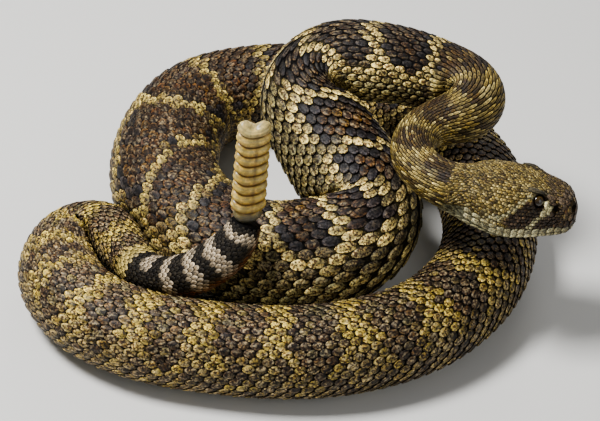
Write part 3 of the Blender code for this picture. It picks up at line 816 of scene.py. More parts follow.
def head_marking(distance, angles, luck):
    """Colour on the head from a share of its length and a turn in degrees from the middle of the crown.

    A dark mask runs down and back from the eye, edged above by a pale line. A pale patch before the eye
    runs on as a line down to the lip, with a dark patch before it. Each line's measure is the distance from
    its own course over its half width.
    """
    share = (distance - BODY_END) / HEAD_LENGTH
    turn = np.degrees(np.abs(angles))
    second, third = more_luck(luck)
    nape = bell(share, 0.05, 0.06) * bell(turn, 30, 9) + bell(share, 0.225, 0.025) * bell(turn, 34, 8)
    snout = smooth_step(share + 0.0011 * turn, 0.66, 0.80)
    canthus = bell(share, 0.70, 0.10) * bell(turn, 22, 5)
    under = smooth_step(turn, 80, 90) * smooth_step(share, 0.40, 0.46)
    course = np.interp(share, *LINE_BEHIND)
    behind = 1 - smooth_step(np.abs(turn - course) / LINE_HALF_TURN, 0.6, 1.15)
    behind = behind * between(share, 0.25, 0.38, 0.56, 0.60)
    lower = np.interp(share, *MASK_LOWER)
    mask = smooth_step(turn - course - 5, -1.5, 2.5) * (1 - smooth_step(turn - lower, -3, 3))
    mask = mask * between(share, 0.35, 0.39, 0.66, 0.70)
    ahead = bell(share, 0.79, 0.075) * bell(turn, 89, 10) + bell(share, 0.66, 0.05) * bell(turn, 54, 12)
    before = 1 - smooth_step(np.abs(share - np.interp(turn, *LINE_BEFORE)) / LINE_HALF_SHARE, 0.65, 1.15)
    before = before * between(turn, 66, 72, 104, 112)
    patch = np.hypot((share - 0.728) / 0.036, (turn - 66) / 8)
    before = np.maximum(before, 1 - smooth_step(patch, 0.75, 1.1))
    blotch = bell(share, 0.345, 0.02) * bell(turn, 91, 4) + bell(share, 0.29, 0.04) * bell(turn, 98, 4)
    shield = bell(share, 0.625, 0.085, 1.4) * bell(turn, 42, 6, 1.3)
    lip = smooth_step(turn, 105, 109) * (0.9 - 0.3 * smooth_step(share, 0.74, 0.9)) * (0.7 + 0.3 * third)
    dark = mix(BROWN * 0.5, DUSK * 2, smooth_step(third, 0.7, 0.9) * 0.9)
    pale = mix(CHEEK_PALE, OLIVE, smooth_step(third, 0.6, 0.9) * 0.5)
    return layered(
        CROWN,
        (STRAW, smooth_step(second, 0.45, 0.9) * 0.7),
        (OCHRE * 0.25, smooth_step(luck, 0.66, 0.84) * 0.9),
        (MOSS_GREY, smooth_step(third, 0.75, 0.95) * 0.5),
        (BROWN * 0.6, nape * smooth_step(third, 0.15, 0.4) * 0.85),
        (mix(SNOUT, BROWN, third * 0.8), snout * (0.55 + 0.4 * smooth_step(second, 0.2, 0.5))),
        (YELLOW * 0.8, canthus * smooth_step(third, 0.4, 0.7) * 0.6),
        (BROWN * 0.75, under * (0.45 + 0.4 * smooth_step(second, 0.2, 0.6))),
        (dark, mask * 0.95),
        (dark, np.clip(ahead * 1.6, 0, 1) * 0.9),
        (pale, np.maximum(before, behind * 0.9) + blotch),
        (SHIELD_GREY, np.minimum(shield, 0.9)),
        (LIP_PALE, lip),
        # Under the chin: pale behind, browner towards the snout, painted shade on the front of the chin.
        (mix(LIP_PALE * 1.1, BROWN, smooth_step(share, 0.6, 0.95) * 0.6), smooth_step(turn, 118, 122)),
    )


# The finish that everything on the animal shares: fine flecks, darker and then paler than its own colour,
# and a fine grain. One node group puts out the flecked colour and the grain's height.
grain = bpy.data.node_groups.new("flecks", "ShaderNodeTree")
for title, kind, way in (
    ("Colour", "NodeSocketColor", "INPUT"),
    ("Amount", "NodeSocketFloat", "INPUT"),
    ("Fineness", "NodeSocketFloat", "INPUT"),
    ("Colour", "NodeSocketColor", "OUTPUT"),
    ("Height", "NodeSocketFloat", "OUTPUT"),
):
    grain.interface.new_socket(title, in_out=way, socket_type=kind)


def add_node(tree, kind, inputs=None, **settings):
    """A node of one kind with its properties. Each input gets a value, or a link from another's output."""
    node = tree.nodes.new(kind)
    for key, value in settings.items():
        setattr(node, key, value)
    for socket, value in (inputs or {}).items():
        if isinstance(value, bpy.types.NodeSocket):
            tree.links.new(value, node.inputs[socket])
        else:
            node.inputs[socket].default_value = value
    return node


into = add_node(grain, "NodeGroupInput").outputs
where = add_node(grain, "ShaderNodeTexCoord").outputs["Object"]
flecked = into["Colour"]
for scale, noise, low, high, most, fleck in (
    (1.0, {"Detail": 2.0, "Roughness": 0.55}, 0.48, 0.55, 1.0, (0.12, 0.09, 0.10, 1)),
    (1.15, {"Detail": 1.0, "Distortion": 0.4}, 0.53, 0.58, 0.9, (2.3, 2.05, 1.6, 1)),
):
    size = add_node(grain, "ShaderNodeMath", {0: into["Fineness"], 1: scale}, operation="MULTIPLY").outputs[0]
    spots = add_node(grain, "ShaderNodeTexNoise", {"Vector": where, "Scale": size, **noise}).outputs["Fac"]
    span = {"Value": spots, "From Min": low, "From Max": high, "To Max": most}
    mask = add_node(grain, "ShaderNodeMapRange", span).outputs[0]
    share = add_node(grain, "ShaderNodeMath", {0: mask, 1: into["Amount"]}, operation="MULTIPLY").outputs[0]
    layer = {"Factor": share, "A": flecked, "B": fleck}
    layer = add_node(grain, "ShaderNodeMix", layer, data_type="RGBA", blend_type="MULTIPLY")
    flecked = layer.outputs["Result"]
add_node(grain, "NodeGroupOutput", {"Colour": flecked, "Height": spots})


def cover_material(name, fineness, rough_low, rough_high, bump, constants):
    """A finish that takes its colour from the mesh's own tone, with flecks, and its roughness and relief
    from their grain. constants are values of the shader's own sockets."""
    material = bpy.data.materials.new(name)
    material.use_nodes = True
    tree = material.node_tree
    shader = tree.nodes["Principled BSDF"]
    tone = add_node(tree, "ShaderNodeAttribute", attribute_name="tone").outputs["Color"]
    amount = add_node(tree, "ShaderNodeAttribute", attribute_name="fleck").outputs["Fac"]
    own = {"Colour": tone, "Amount": amount, "Fineness": fineness}
    flecks = add_node(tree, "ShaderNodeGroup", own, node_tree=grain).outputs
    height = flecks["Height"]
    rough = add_node(tree, "ShaderNodeMapRange", {"Value": height, "To Min": rough_low, "To Max": rough_high})
    relief = add_node(tree, "ShaderNodeBump", {"Height": height, "Strength": bump, "Distance": 0.0002})
    tree.links.new(flecks["Colour"], shader.inputs["Base Color"])
    tree.links.new(rough.outputs[0], shader.inputs["Roughness"])
    tree.links.new(relief.outputs["Normal"], shader.inputs["Normal"])
    for socket, value in constants.items():
        shader.inputs[socket].default_value = value
    return material


# The hide itself, dull, which shows only between the scales. Its colour is the markings darkened as painted
# shade for the gaps between the scales, far more on the body than on the head. The body's columns are fewer
# than the head's, so one ring of wider faces steps down from the one to the other.
BODY_SHADE = 0.04
HEAD_SHADE = 0.25
hide_finish = cover_material("bare_hide", 900.0, 0.55, 0.8, 0.5, {"Specular IOR Level": 0.05})
body_skin = skin[: len(body_run) : SKIN_ROW_STEP, ::SKIN_COLUMN_STEP]
head_skin = skin[len(body_run) :]
ends = (body_skin[0].mean(0)[None], head_skin[-1].mean(0)[None])
points = np.concatenate([body_skin.reshape(-1, 3), head_skin.reshape(-1, 3), *ends])
body_grid = np.arange(body_skin[..., 0].size).reshape(body_skin.shape[:2])
head_grid = body_grid.size + np.arange(head_skin[..., 0].size).reshape(head_skin.shape[:2])


def tube_quads(grid):
    """The four corners of every face between the rows of a closed tube, facing out."""
    beside = np.roll(grid, -1, axis=1)
    return np.stack([grid[:-1], beside[:-1], beside[1:], grid[1:]], -1).reshape(-1, 4)


def fan(ring, centre, facing_back):
    """The three corners of every face between a ring and one point."""
    first, second = (np.roll(ring, -1), ring) if facing_back else (ring, np.roll(ring, -1))
    return np.stack([np.full(len(ring), centre), first, second], -1)


last_body = body_grid[-1]
first_head = head_grid[0].reshape(-1, SKIN_COLUMN_STEP)
step_down = [last_body, np.roll(last_body, -1), np.roll(first_head, -1, axis=0)[:, 0], *first_head.T[::-1]]
step_down = np.stack(step_down, -1)
quads = np.concatenate([tube_quads(body_grid), tube_quads(head_grid)])
tips = np.concatenate([fan(body_grid[0], len(points) - 2, True), fan(head_grid[-1], len(points) - 1, False)])
loops = np.concatenate([quads.ravel(), step_down.ravel(), tips.ravel()])
sizes = np.repeat([4, SKIN_COLUMN_STEP + 3, 3], [len(quads), len(step_down), len(tips)])
ROW_TURN = 0.163
ROW_WIDEN = 0.00069


def row_of(angles):
    """Which row of scales an angle falls in, by reading the angle of each row backwards."""
    rows_out = np.linspace(0, 18, 181)
    turns_out = ROW_TURN * (rows_out + ROW_WIDEN * rows_out**3)
    return np.sign(angles) * np.interp(np.abs(angles), turns_out, rows_out)


luck = np.random.default_rng(5)
distance, row = np.meshgrid(body_run[::SKIN_ROW_STEP], row_of(angle[::SKIN_COLUMN_STEP]), indexing="ij")
body_tone = marking(distance, row, luck.random(distance.shape))
distance, turns = np.meshgrid(head_run, angle, indexing="ij")
head_tone = head_marking(distance, turns, luck.random(distance.shape))
# The hide in each heat pit and nostril is painted jet: painted shade in these hollows.
for place, reach, _, _ in HOLLOWS:
    for sign in (1, -1):
        spot, ahead, side, _ = head_spot(place[0], sign * place[1], place[2])
        _, away = about(head_skin, spot, unit(sign * side + 0.4 * ahead))
        hollow_shade = (1 - smooth_step(away, 0.6 * reach, 1.3 * reach)) * (sign * ring_across > 0)
        head_tone = mix(head_tone, JET, hollow_shade)
# Painted shade in each eye socket: the hide round the eyeball is painted jet.
for eye, look, _ in eyes.values():
    _, away = about(head_skin, eye, look)
    hollow_shade = (1 - smooth_step(away, LID_OPENING, LID_OPENING + 0.0003)) * (((head_skin - eye) @ look) > -0.004)
    head_tone = mix(head_tone, JET, hollow_shade)
# The hide's colour: the markings darkened as painted shade for the gaps between the scales, and jet at its
# two tips.
tones = [BODY_SHADE * body_tone.reshape(-1, 3), HEAD_SHADE * head_tone.reshape(-1, 3), np.tile(JET, (2, 1))]
tones = np.concatenate(tones)
hide = tinted_mesh("hide", points, loops, sizes, tones, np.full(len(points), 0.8))
hide.data.materials.append(hide_finish)
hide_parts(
    "tail",
    "hind_turn",
    "hind_front",
    "hind_right",
    "mid_back",
    "mid_left",
    "mid_front",
    "fore_rise",
    "fore_loop",
    "neck_bend",
    "neck",
    "head",
)

# The body's scales: keeled, horny, longer than wide, each overlapping the one behind it, rows beside each
# other half a scale apart. Twenty-seven rows run along the back and sides, twenty-five on the tail, and
# thirty-seven narrow ones on the neck.
SCALE_PITCH = 0.0051
PITCH_POWER = 0.6
SIDE_ROWS = 13
TAIL_ROWS = 12
TAIL_ROW_TURN = 2.48 / 12.5
NECK_ROWS = 18
NECK_ROW_TURN = 2.36 / NECK_ROWS
SCALE_HALF_WIDTH = 0.61
SCALE_LENGTH = 1.05
NECK_SCALE_LENGTH = 1.3
TAIL_SCALE_LENGTH = 1.2
KEEL = 0.3
PLATE_THICK = 0.4
SCALE_RISE = 0.4
SCALE_ALONG = np.array([0, 0.22, 0.45, 0.7, 0.88, 1.0])
SCALE_ACROSS = np.array([-1, -0.8, -0.4, 0, 0.4, 0.8, 1])
SMALL_ALONG = np.array([0, 0.3, 0.6, 0.85, 1.0])
SMALL_ACROSS = np.array([-1, -0.5, 0, 0.5, 1])
# The first colour below is added along a scale's sides and tip: its own pale edge with a painted highlight.
PALE_EDGE_AND_HIGHLIGHT = np.array([0.011, 0.009, 0.005])
PALE_SPECK = np.array([0.145, 0.118, 0.07])
WARMTH = np.array([0.35, 0.1, -0.3])
PATCH_LONG = 0.003
PATCH_WIDE = 0.0015


def scale_outline(along):
    """Half width of a scale from root to tip: full past the middle, then rounded off to a blunt tip."""
    swelling = 0.6 + 0.4 * np.sin(np.pi / 2 * np.minimum(along / 0.45, 1))
    rounding = (1 - np.maximum(0, (along - 0.45) / 0.55) ** 2.4) ** 0.6
    return np.maximum(swelling * rounding, 0.2)


def scale_lift(along, across, keel):
    """Height of a scale: sunk at its root, raised at its tip, domed between, ridged down its middle."""
    slope = -0.3 + along
    dome = 0.2 * (1 - across**2) * np.sin(np.pi * np.minimum(along * 0.92 + 0.08, 1))
    ridge = keel * np.maximum(0, 1 - np.abs(across) / 0.28) * smooth_step(along, 0.02, 0.2)
    return slope + dome + ridge * (1 - 0.6 * smooth_step(along, 0.85, 1.0))


def plate_faces(x, count):
    """The rim of a plate's grid, and the corners and face sizes of many closed plates.

    Each has its grid, a skirt down to a copy of its rim, and one face that closes it below.
    """
    grid = np.arange(x.size).reshape(x.shape)
    rim = np.concatenate([grid[:-1, 0], grid[-1, :-1], grid[:0:-1, -1], grid[0, :0:-1]])
    quads = np.stack([grid[:-1, :-1], grid[1:, :-1], grid[1:, 1:], grid[:-1, 1:]], -1).reshape(-1, 4)
    low = x.size + np.arange(len(rim))
    skirt = np.stack([np.roll(rim, -1), rim, low, np.roll(low, -1)], -1)
    corners = np.concatenate([quads.ravel(), skirt.ravel(), low[::-1]])
    loops = (corners[None, :] + (x.size + len(rim)) * np.arange(count)[:, None]).ravel()
    return rim, loops, np.tile(np.repeat([4, len(low)], [len(quads) + len(skirt), 1]), count)


def plate_tones(tone, specks, flat_x, edge, above, keel):
    """The colour at each point of many plates, from each plate's own tone.

    A plate is darkened at its root, where it lies under the plate before it, down its keel and at its edge,
    all painted shade, and the rim's copy below is painted near black as shade too. It is mottled by chance in
    its middle, and pale along its sides and tip, its own pale edge with a painted highlight. specks is how
    far pale specks show on it, edge how far out a point lies, and above tells the upper points from the rim's
    copy below.
    """
    # The pale sides and tip: the scale's own pale edge together with a painted highlight.
    side_rim = between(edge, 0.4, 0.8, 0.8, 1.0) * smooth_step(flat_x, 0.25, 0.6)
    tip_rim = between(flat_x, 0.66, 0.88, 0.93, 1.0) * (1 - smooth_step(edge, 0.8, 1.0))
    light = np.maximum(0.65 * side_rim, tip_rim)
    # Painted shade: dark at the root, where the plate lies under the one before it, and at its outer edge.
    shade = (0.04 + 0.71 * smooth_step(flat_x, 0.1, 0.4)) * (1 - 0.75 * smooth_step(edge, 0.84, 1.0))
    # Painted shade down the keel.
    keel_shade = (1 - smooth_step(edge, 0.1, 0.35)) * smooth_step(flat_x, 0.2, 0.4)
    shade = shade * (1 - 0.35 * keel / KEEL * keel_shade)
    # The rim's copy below is painted near black: painted shade under the plate.
    shade = np.where(above, shade, 0.03)
    shape = (len(tone), len(flat_x))
    draw = np.random.default_rng(len(tone))
    mottle = draw.random(shape) * above
    warm = 1 + (mottle * draw.random(shape))[:, :, None] * WARMTH
    tones = tone[:, None, :] * (shade * (0.55 + 0.95 * mottle**1.5))[:, :, None] * warm
    tones = tones + light[:, None] * (1.25 * tone[:, None, :] + PALE_EDGE_AND_HIGHLIGHT)
    dots = smooth_step(draw.random(shape), 0.62, 0.92) * above * (flat_x > 0.15) * (edge < 0.95)
    return (tones + (dots * specks[:, None])[:, :, None] * PALE_SPECK).reshape(-1, 3)


def plates(name, place, size, rise, tone, fleck, specks, span, keel=KEEL, blunt=0.0, fine=True):
    """Many closed plates on the skin. place is each one's distance and angle, size its length and half width.

    A plate's own grid runs along from root to tip, towards the tail, and across. Its lower rim lies under
    the upper one. blunt squares off its outline. The bake map keeps each plate in a small patch at its
    root.
    """
    along, across = (SCALE_ALONG, SCALE_ACROSS) if fine else (SMALL_ALONG, SMALL_ACROSS)
    x, y = np.meshgrid(along, across, indexing="ij")
    rim, loops, sizes = plate_faces(x, len(place))
    outline = scale_outline(x) * (1 - blunt) + blunt * (1 - 0.25 * np.abs(2 * x - 1) ** 4)
    flat_x = np.concatenate([x.ravel(), x.ravel()[rim]])
    flat_y = np.concatenate([(y * outline).ravel(), 0.96 * (y * outline).ravel()[rim]])
    high = scale_lift(x, y, keel).ravel()
    height = np.concatenate([high, high[rim] - PLATE_THICK])
    _, _, along_metric, around_metric = read_skin(place[:, 0], place[:, 1])
    back = (flat_x - 0.5) * size[:, :1]
    out = flat_y * size[:, 1:2]
    distance = place[:, :1] - back / np.maximum(along_metric, 0.3)[:, None]
    angles = place[:, 1:] + out / np.maximum(around_metric, 0.0005)[:, None]
    point, normal, _, _ = read_skin(distance, angles)
    point = point + (height * rise[:, None])[:, :, None] * normal
    edge = np.concatenate([np.abs(y).ravel(), np.ones(len(rim))])
    tones = plate_tones(tone, specks, flat_x, edge, np.arange(flat_x.size) < x.size, keel)
    u = ((place[:, 0] - span[0]) / (span[1] - span[0]))[:, None] - PATCH_LONG * (flat_x - 0.5)
    v = (place[:, 1] / (2 * np.pi) + 0.5)[:, None] + PATCH_WIDE * flat_y
    patches = np.stack([u, v], -1).reshape(-1, 2)[loops]
    flecks = np.repeat(fleck, flat_x.size)
    return tinted_mesh(name, point.reshape(-1, 3), loops, sizes, tones, flecks, patches)


scale_finish = cover_material("keeled_scale", 1050.0, 0.42, 0.68, 0.8, {"Specular IOR Level": 0.15})
pitch = SCALE_PITCH * (line[:, 3] / WIDEST_HALF) ** PITCH_POWER
pitch *= 1 - 0.24 * smooth_step(run, 0.84, 0.88) - 0.22 * (1 - smooth_step(run, 0.055, 0.075))
pitch *= 1 - 0.12 * smooth_step(run, 0.19, 0.27) * (1 - smooth_step(run, 0.4, 0.5))
scale_count = np.concatenate([[0], np.cumsum(np.diff(run) / ((pitch[1:] + pitch[:-1]) / 2))])
VENT = 0.067


def scale_places(first, last, side_rows):
    """Distance and row of every scale between two distances, rows beside each other half a scale apart."""
    low, high = np.interp((first, last), run, scale_count)
    rows_here = np.arange(-side_rows, side_rows + 1)
    number, row = np.meshgrid(np.arange(np.floor(low) - 1, high + 1), rows_here, indexing="ij")
    number = (number + 0.5 * (row % 2)).ravel()
    row = row.ravel().astype(float)
    keep = (number >= low) & (number < high)
    return np.interp(number[keep], scale_count, run), row[keep]


def coat_of(name, first, last, side_rows, row_turn, length_share, fleck=1.0):
    """The scales between two distances: each takes its size from the rows' spacing where it lies."""
    distance, row = scale_places(first, last, side_rows)
    widening = ROW_WIDEN if side_rows == SIDE_ROWS else 0.0
    angles = row_turn * (row + widening * row**3)
    place = np.stack([distance, angles], 1)
    draw = np.random.default_rng(int(last * 1e4))
    _, _, along_metric, around_metric = read_skin(distance, angles)
    own_pitch = np.interp(distance, run, pitch)
    row_step = row_turn * (1 + 3 * widening * row**2)
    length = length_share * own_pitch * np.clip(along_metric, 0.8, 1.8) * draw.uniform(0.95, 1.05, len(row))
    narrow = 1 - 0.2 * smooth_step(distance, 0.78, 0.82) - 0.14 * smooth_step(distance, 0.85, 0.88)
    width = SCALE_HALF_WIDTH * narrow * row_step * around_metric * draw.uniform(0.95, 1.05, len(row))
    tone = marking(distance, row_of(angles), draw.random(len(row)))
    tone = tone * draw.uniform(0.6, 1.45, len(row))[:, None]
    size = np.stack([length, width], 1)
    brownness = np.clip((tone[:, 0] - tone[:, 2]) / np.maximum(tone[:, 0], 1e-4) * 1.6, 0.12, 1)
    amount = 0.9 + 0.8 * (1 - smooth_step(distance, 0.2, 0.4)) - 0.65 * smooth_step(distance, 0.83, 0.87)
    specks = fleck * brownness * draw.uniform(0.5, 1.2, len(row)) * amount
    flecks = np.full(len(row), fleck)
    coat = plates(name, place, size, SCALE_RISE * width, tone, flecks, specks, (first, last))
    coat.data.materials.append(scale_finish)


coat_of("scales_tail", 0.0008, VENT, TAIL_ROWS, TAIL_ROW_TURN, TAIL_SCALE_LENGTH, 0.3)
for stretch, following in zip(starts, list(starts)[1:]):
    title = "vent" if stretch == "tail" else stretch
    first = VENT if stretch == "tail" else starts[stretch]
    if stretch in ("neck_bend", "neck"):
        cover = (NECK_ROWS, NECK_ROW_TURN, NECK_SCALE_LENGTH, 0.5)
    else:
        cover = (SIDE_ROWS, ROW_TURN, SCALE_LENGTH)
    coat_of(f"scales_{title}", first, starts[following], *cover)

# The belly's scutes: one broad smooth plate after another across the underside, from the throat to the
# rattle, each overlapping the next and held between the lowest rows of scales.
SCUTE_HALF = 0.21 * np.pi + 0.06
SCUTE_ALONG = (0, 0.25, 0.5, 0.75, 0.93, 1.0)
SCUTE_COLUMNS = 13
SCUTE_LENGTH = 1.45
SCUTE_CURL = 0.25
SCUTE_THICK = 0.0004
THROAT_SCALES = 9
scute_run = np.interp(np.arange(1, scale_count[-1] - THROAT_SCALES), scale_count, run)
scute_pitch = np.interp(scute_run, run, pitch)
x, y = np.meshgrid(SCUTE_ALONG, np.linspace(-1, 1, SCUTE_COLUMNS), indexing="ij")
rim, loops, sizes = plate_faces(x, len(scute_run))
flat_x = np.concatenate([x.ravel(), x.ravel()[rim]])
flat_y = np.concatenate([y.ravel(), y.ravel()[rim]])
high = np.concatenate([(-0.3 + 1.2 * x - 0.4 * x**6).ravel(), (-0.9 + 0.7 * x).ravel()[rim]])
back = (flat_x - 0.5 + SCUTE_CURL * (1 - flat_y**2)) * SCUTE_LENGTH * scute_pitch[:, None]
distance = np.clip(scute_run[:, None] - back, 0.0004, LENGTH)
point, normal, _, _ = read_skin(distance, np.pi + flat_y * SCUTE_HALF + 0 * distance)
point = point + (high * SCUTE_THICK)[:, None] * normal
point[:, :, 2] = np.maximum(point[:, :, 2], 0.0)
draw = np.random.default_rng(8)
mottle = draw.random((len(scute_run), 1)) + 0 * flat_y
tones = mix(BELLY_CREAM, MOSS_GREY * 0.6, smooth_step(np.abs(flat_y), 0.5, 1.0) * (0.35 + 0.5 * mottle))
tones = mix(tones, mix(ORANGE, JET, 0.35), 1 - smooth_step(scute_run * 1000, 60, 70)[:, None])
u = (scute_run / LENGTH)[:, None] - PATCH_WIDE * flat_x
v = 0.5 + PATCH_WIDE * flat_y + 0 * u
patches = np.stack([u, v], -1).reshape(-1, 2)[loops]
flecks = np.full(mottle.size, 0.35)
points = point.reshape(-1, 3)
scutes = tinted_mesh("belly_scutes", points, loops, sizes, tones.reshape(-1, 3), flecks, patches)
scutes.data.materials.append(cover_material("belly_scute", 700.0, 0.3, 0.5, 0.15, {}))

# The head's scales: small grains over the crown and cheeks, larger ones on the snout, a row of shields
# along each lip, a broad shield over each eye, a ring of grains round it, and smooth scales under the chin.
GRAIN_ROWS = 19
GRAIN_PITCH = 0.00145
GRAIN_EDGE = 0.86
GRAIN_LAST = 0.86
SNOUT_ROWS_ACROSS = 6
SNOUT_PITCH = 0.0021
SNOUT_LAST = 0.985
LABIAL_LENGTH = 0.0029
CHIN_ROWS = 5
CHIN_PITCH = 0.0028
CHIN_TURN = 0.145
RING_RADIUS = 0.0031
RING_SCALES = 15
grain_finish = cover_material("head_scale", 1900.0, 0.42, 0.68, 0.3, {"Specular IOR Level": 0.18})


def clear_of_holes(distance, angles, away):
    """The distances and angles that keep clear of the eyes, pits and nostrils by a number of metres."""
    point, _, _, _ = read_skin(distance, angles)
    free = np.ones(len(distance), bool)
    for eye, _, _ in eyes.values():
        free &= np.linalg.norm(point - eye, axis=-1) > EYE_RADIUS + 0.0004 + away
    for place, reach, _, _ in HOLLOWS:
        for sign in (1, -1):
            spot = head_spot(place[0], sign * place[1], place[2])[0]
            free &= np.linalg.norm(point - spot, axis=-1) > reach + 0.75 * away
    return distance[free], angles[free]


def head_plates(name, distance, angles, length, width, rise, fleck, tone=None, **more):
    """A group of the head's plates, with the head's markings or a tone given, and its finish."""
    draw = np.random.default_rng(len(distance))
    if tone is None:
        marks = head_marking(distance, angles, draw.random(len(distance)))
        tone = marks * draw.uniform(0.65, 1.4, len(distance))[:, None]
    place = np.stack([distance, angles], 1)
    size = np.stack([length + 0 * distance, width + 0 * distance], 1)
    span = (BODY_END - 0.004, LENGTH + 0.001)
    flecks = np.full(len(distance), fleck)
    piece = plates(name, place, size, rise + 0 * distance, tone, flecks, 0.25 * flecks, span, **more)
    piece.data.materials.append(grain_finish)
    return piece


def lattice(first, last, step, side_rows, turn):
    """Distances and angles of a half-stepped lattice on the head, its rows at equal turns from the top."""
    rows_here = np.arange(-side_rows, side_rows + 1)
    number, row = np.meshgrid(np.arange(0, (last - first) / step), rows_here, indexing="ij")
    distance = first + (number + 0.5 * (row % 2)) * step
    return distance.ravel(), (row * turn).ravel()


grain_turn = GRAIN_EDGE * LIP_ANGLE / (GRAIN_ROWS + 0.4)
grains_end = BODY_END + GRAIN_LAST * HEAD_LENGTH
distance, angles = lattice(BODY_END, grains_end, GRAIN_PITCH, GRAIN_ROWS, grain_turn)
draw = np.random.default_rng(3)
distance = distance + draw.uniform(-0.22, 0.22, len(distance)) * GRAIN_PITCH
angles = angles + draw.uniform(-0.2, 0.2, len(angles)) * grain_turn
distance, angles = clear_of_holes(distance, angles, 0.0009)
_, _, _, around_metric = read_skin(distance, angles)
length = GRAIN_PITCH * draw.uniform(1.25, 1.65, len(distance))
width = grain_turn * around_metric * draw.uniform(0.48, 0.62, len(distance))
head_plates("head_grains", distance, angles, length, width, 0.00034, 0.8, fine=False)
snout_turn = GRAIN_EDGE * LIP_ANGLE / (SNOUT_ROWS_ACROSS + 0.4)
snout_end = BODY_END + SNOUT_LAST * HEAD_LENGTH
distance, angles = lattice(grains_end, snout_end, SNOUT_PITCH, SNOUT_ROWS_ACROSS, snout_turn)
distance, angles = clear_of_holes(distance, angles, 0.0008)
_, _, _, around_metric = read_skin(distance, angles)
width = 0.6 * snout_turn * around_metric
head_plates("snout_scales", distance, angles, 0.0028, width, 0.0004, 1.0, fine=False, keel=0.1, blunt=0.5)
lips = []
for sign in (1, -1):
    for first, turn, half in ((0.15, 0.928 * LIP_ANGLE, 0.066 * LIP_ANGLE), (0.16, LIP_ANGLE + 0.095, 0.075)):
        distance = np.arange(BODY_END + first * HEAD_LENGTH, BODY_END + 0.975 * HEAD_LENGTH, LABIAL_LENGTH)
        lips.append((distance, sign * turn + 0 * distance, half + 0 * distance))
distance, angles, half = np.concatenate(lips, axis=1)
_, _, along_metric, around_metric = read_skin(distance, angles)
length = 1.3 * LABIAL_LENGTH * np.clip(along_metric, 0.5, 1.2)
head_plates("lip_shields", distance, angles, length, half * around_metric, 0.00036, 0.8, keel=0.0, blunt=0.8)
chin = []
for row in range(-CHIN_ROWS, CHIN_ROWS + 1):
    first = BODY_END + 0.02 * HEAD_LENGTH + (row % 2) * CHIN_PITCH / 2
    distance = np.arange(first, BODY_END + 0.95 * HEAD_LENGTH, CHIN_PITCH)
    chin.append((distance, np.pi + CHIN_TURN * row + 0 * distance))
distance, angles = np.concatenate(chin, axis=1)
_, _, _, around_metric = read_skin(distance, angles)
head_plates("chin_scales", distance, angles, 0.0042, 0.092 * around_metric, 0.0003, 0.4, keel=0.0, blunt=0.2)
rings = []
for eye, look, top in eyes.values():
    across = unit(np.cross(look, top))
    turns = np.linspace(0, 2 * np.pi, RING_SCALES, endpoint=False)[:, None]
    circle = eye + RING_RADIUS * (np.cos(turns) * across + np.sin(turns) * np.cross(across, look))
    nearest = np.linalg.norm(head_skin.reshape(-1, 1, 3) - circle[None], axis=2).argmin(0)
    rings.append((head_run[nearest // AROUND], angle[nearest % AROUND]))
distance, angles = np.concatenate(rings, axis=1)
head_plates("eye_rings", distance, angles, 0.0017, 0.00078, 0.0005, 1.0, fine=False, blunt=0.6)

# The head's single shields, a pair each: over the eye, before it, along the edge of the snout, and round
# the nostril. Each has its share of the head's length, its turn in degrees, its length, half width and
# rise, and its colour.
SHIELDS = (
    (0.625, 41.0, 0.0080, 0.0017, 0.0010, SHIELD_GREY * 0.45),
    (0.712, 62.0, 0.0040, 0.0019, 0.0006, CHEEK_PALE),
    (0.742, 71.0, 0.0034, 0.0018, 0.0005, CHEEK_PALE * 0.85),
    (0.698, 76.0, 0.0034, 0.0016, 0.0005, CHEEK_PALE),
    (0.745, 47.0, 0.0052, 0.0013, 0.0006, SNOUT),
    (0.840, 50.0, 0.0046, 0.0016, 0.0006, SNOUT),
    (0.885, 68.0, 0.0030, 0.0016, 0.0006, BROWN),
    (0.960, 60.0, 0.0028, 0.0015, 0.0006, DUSK),
)
for number, (share, turn, length, half, rise, tone) in enumerate(SHIELDS, 1):
    angles = np.radians([turn, -turn])
    distance = BODY_END + share * HEAD_LENGTH + 0 * angles
    tone = np.tile(tone, (2, 1))
    head_plates(f"shields_{number}", distance, angles, length, half, rise, 0.7, tone, keel=0.0, blunt=0.4)

# The eyes: a glossy ball under a clear scale, its iris brassy above and dark below and flecked, its pupil
# an upright slit. Each lies in its socket.
EYE_RINGS = 44
EYE_COLUMNS = 64
PUPIL_HALF = (0.13, 0.62)
IRIS_BRASS = paint(76, 60, 34)
IRIS_DARK = paint(34, 26, 18)
IRIS_BRIGHT = paint(104, 84, 50)
IRIS_FLECK = paint(40, 30, 22)
eye_gloss = {"Specular IOR Level": 0.3, "Coat Weight": 0.5, "Coat Roughness": 0.03}
eye_finish = cover_material("clear_eye", 2600.0, 0.05, 0.12, 0.02, eye_gloss)


def capped(name, table, ends, tones, fleck, turned=False):
    """A closed mesh from rings of points and a middle point for each end, turned if its rings run back."""
    grid = np.arange(table[..., 0].size).reshape(table.shape[:2])
    quads = tube_quads(grid)[:, :: -1 if turned else 1]
    tips = np.concatenate([fan(grid[0], grid.size, not turned), fan(grid[-1], grid.size + 1, turned)])
    points = np.concatenate([table.reshape(-1, 3), ends])
    loops = np.concatenate([quads.ravel(), tips.ravel()])
    sizes = np.repeat([4, 3], [len(quads), len(tips)])
    return tinted_mesh(name, points, loops, sizes, tones, np.full(len(points), fleck))


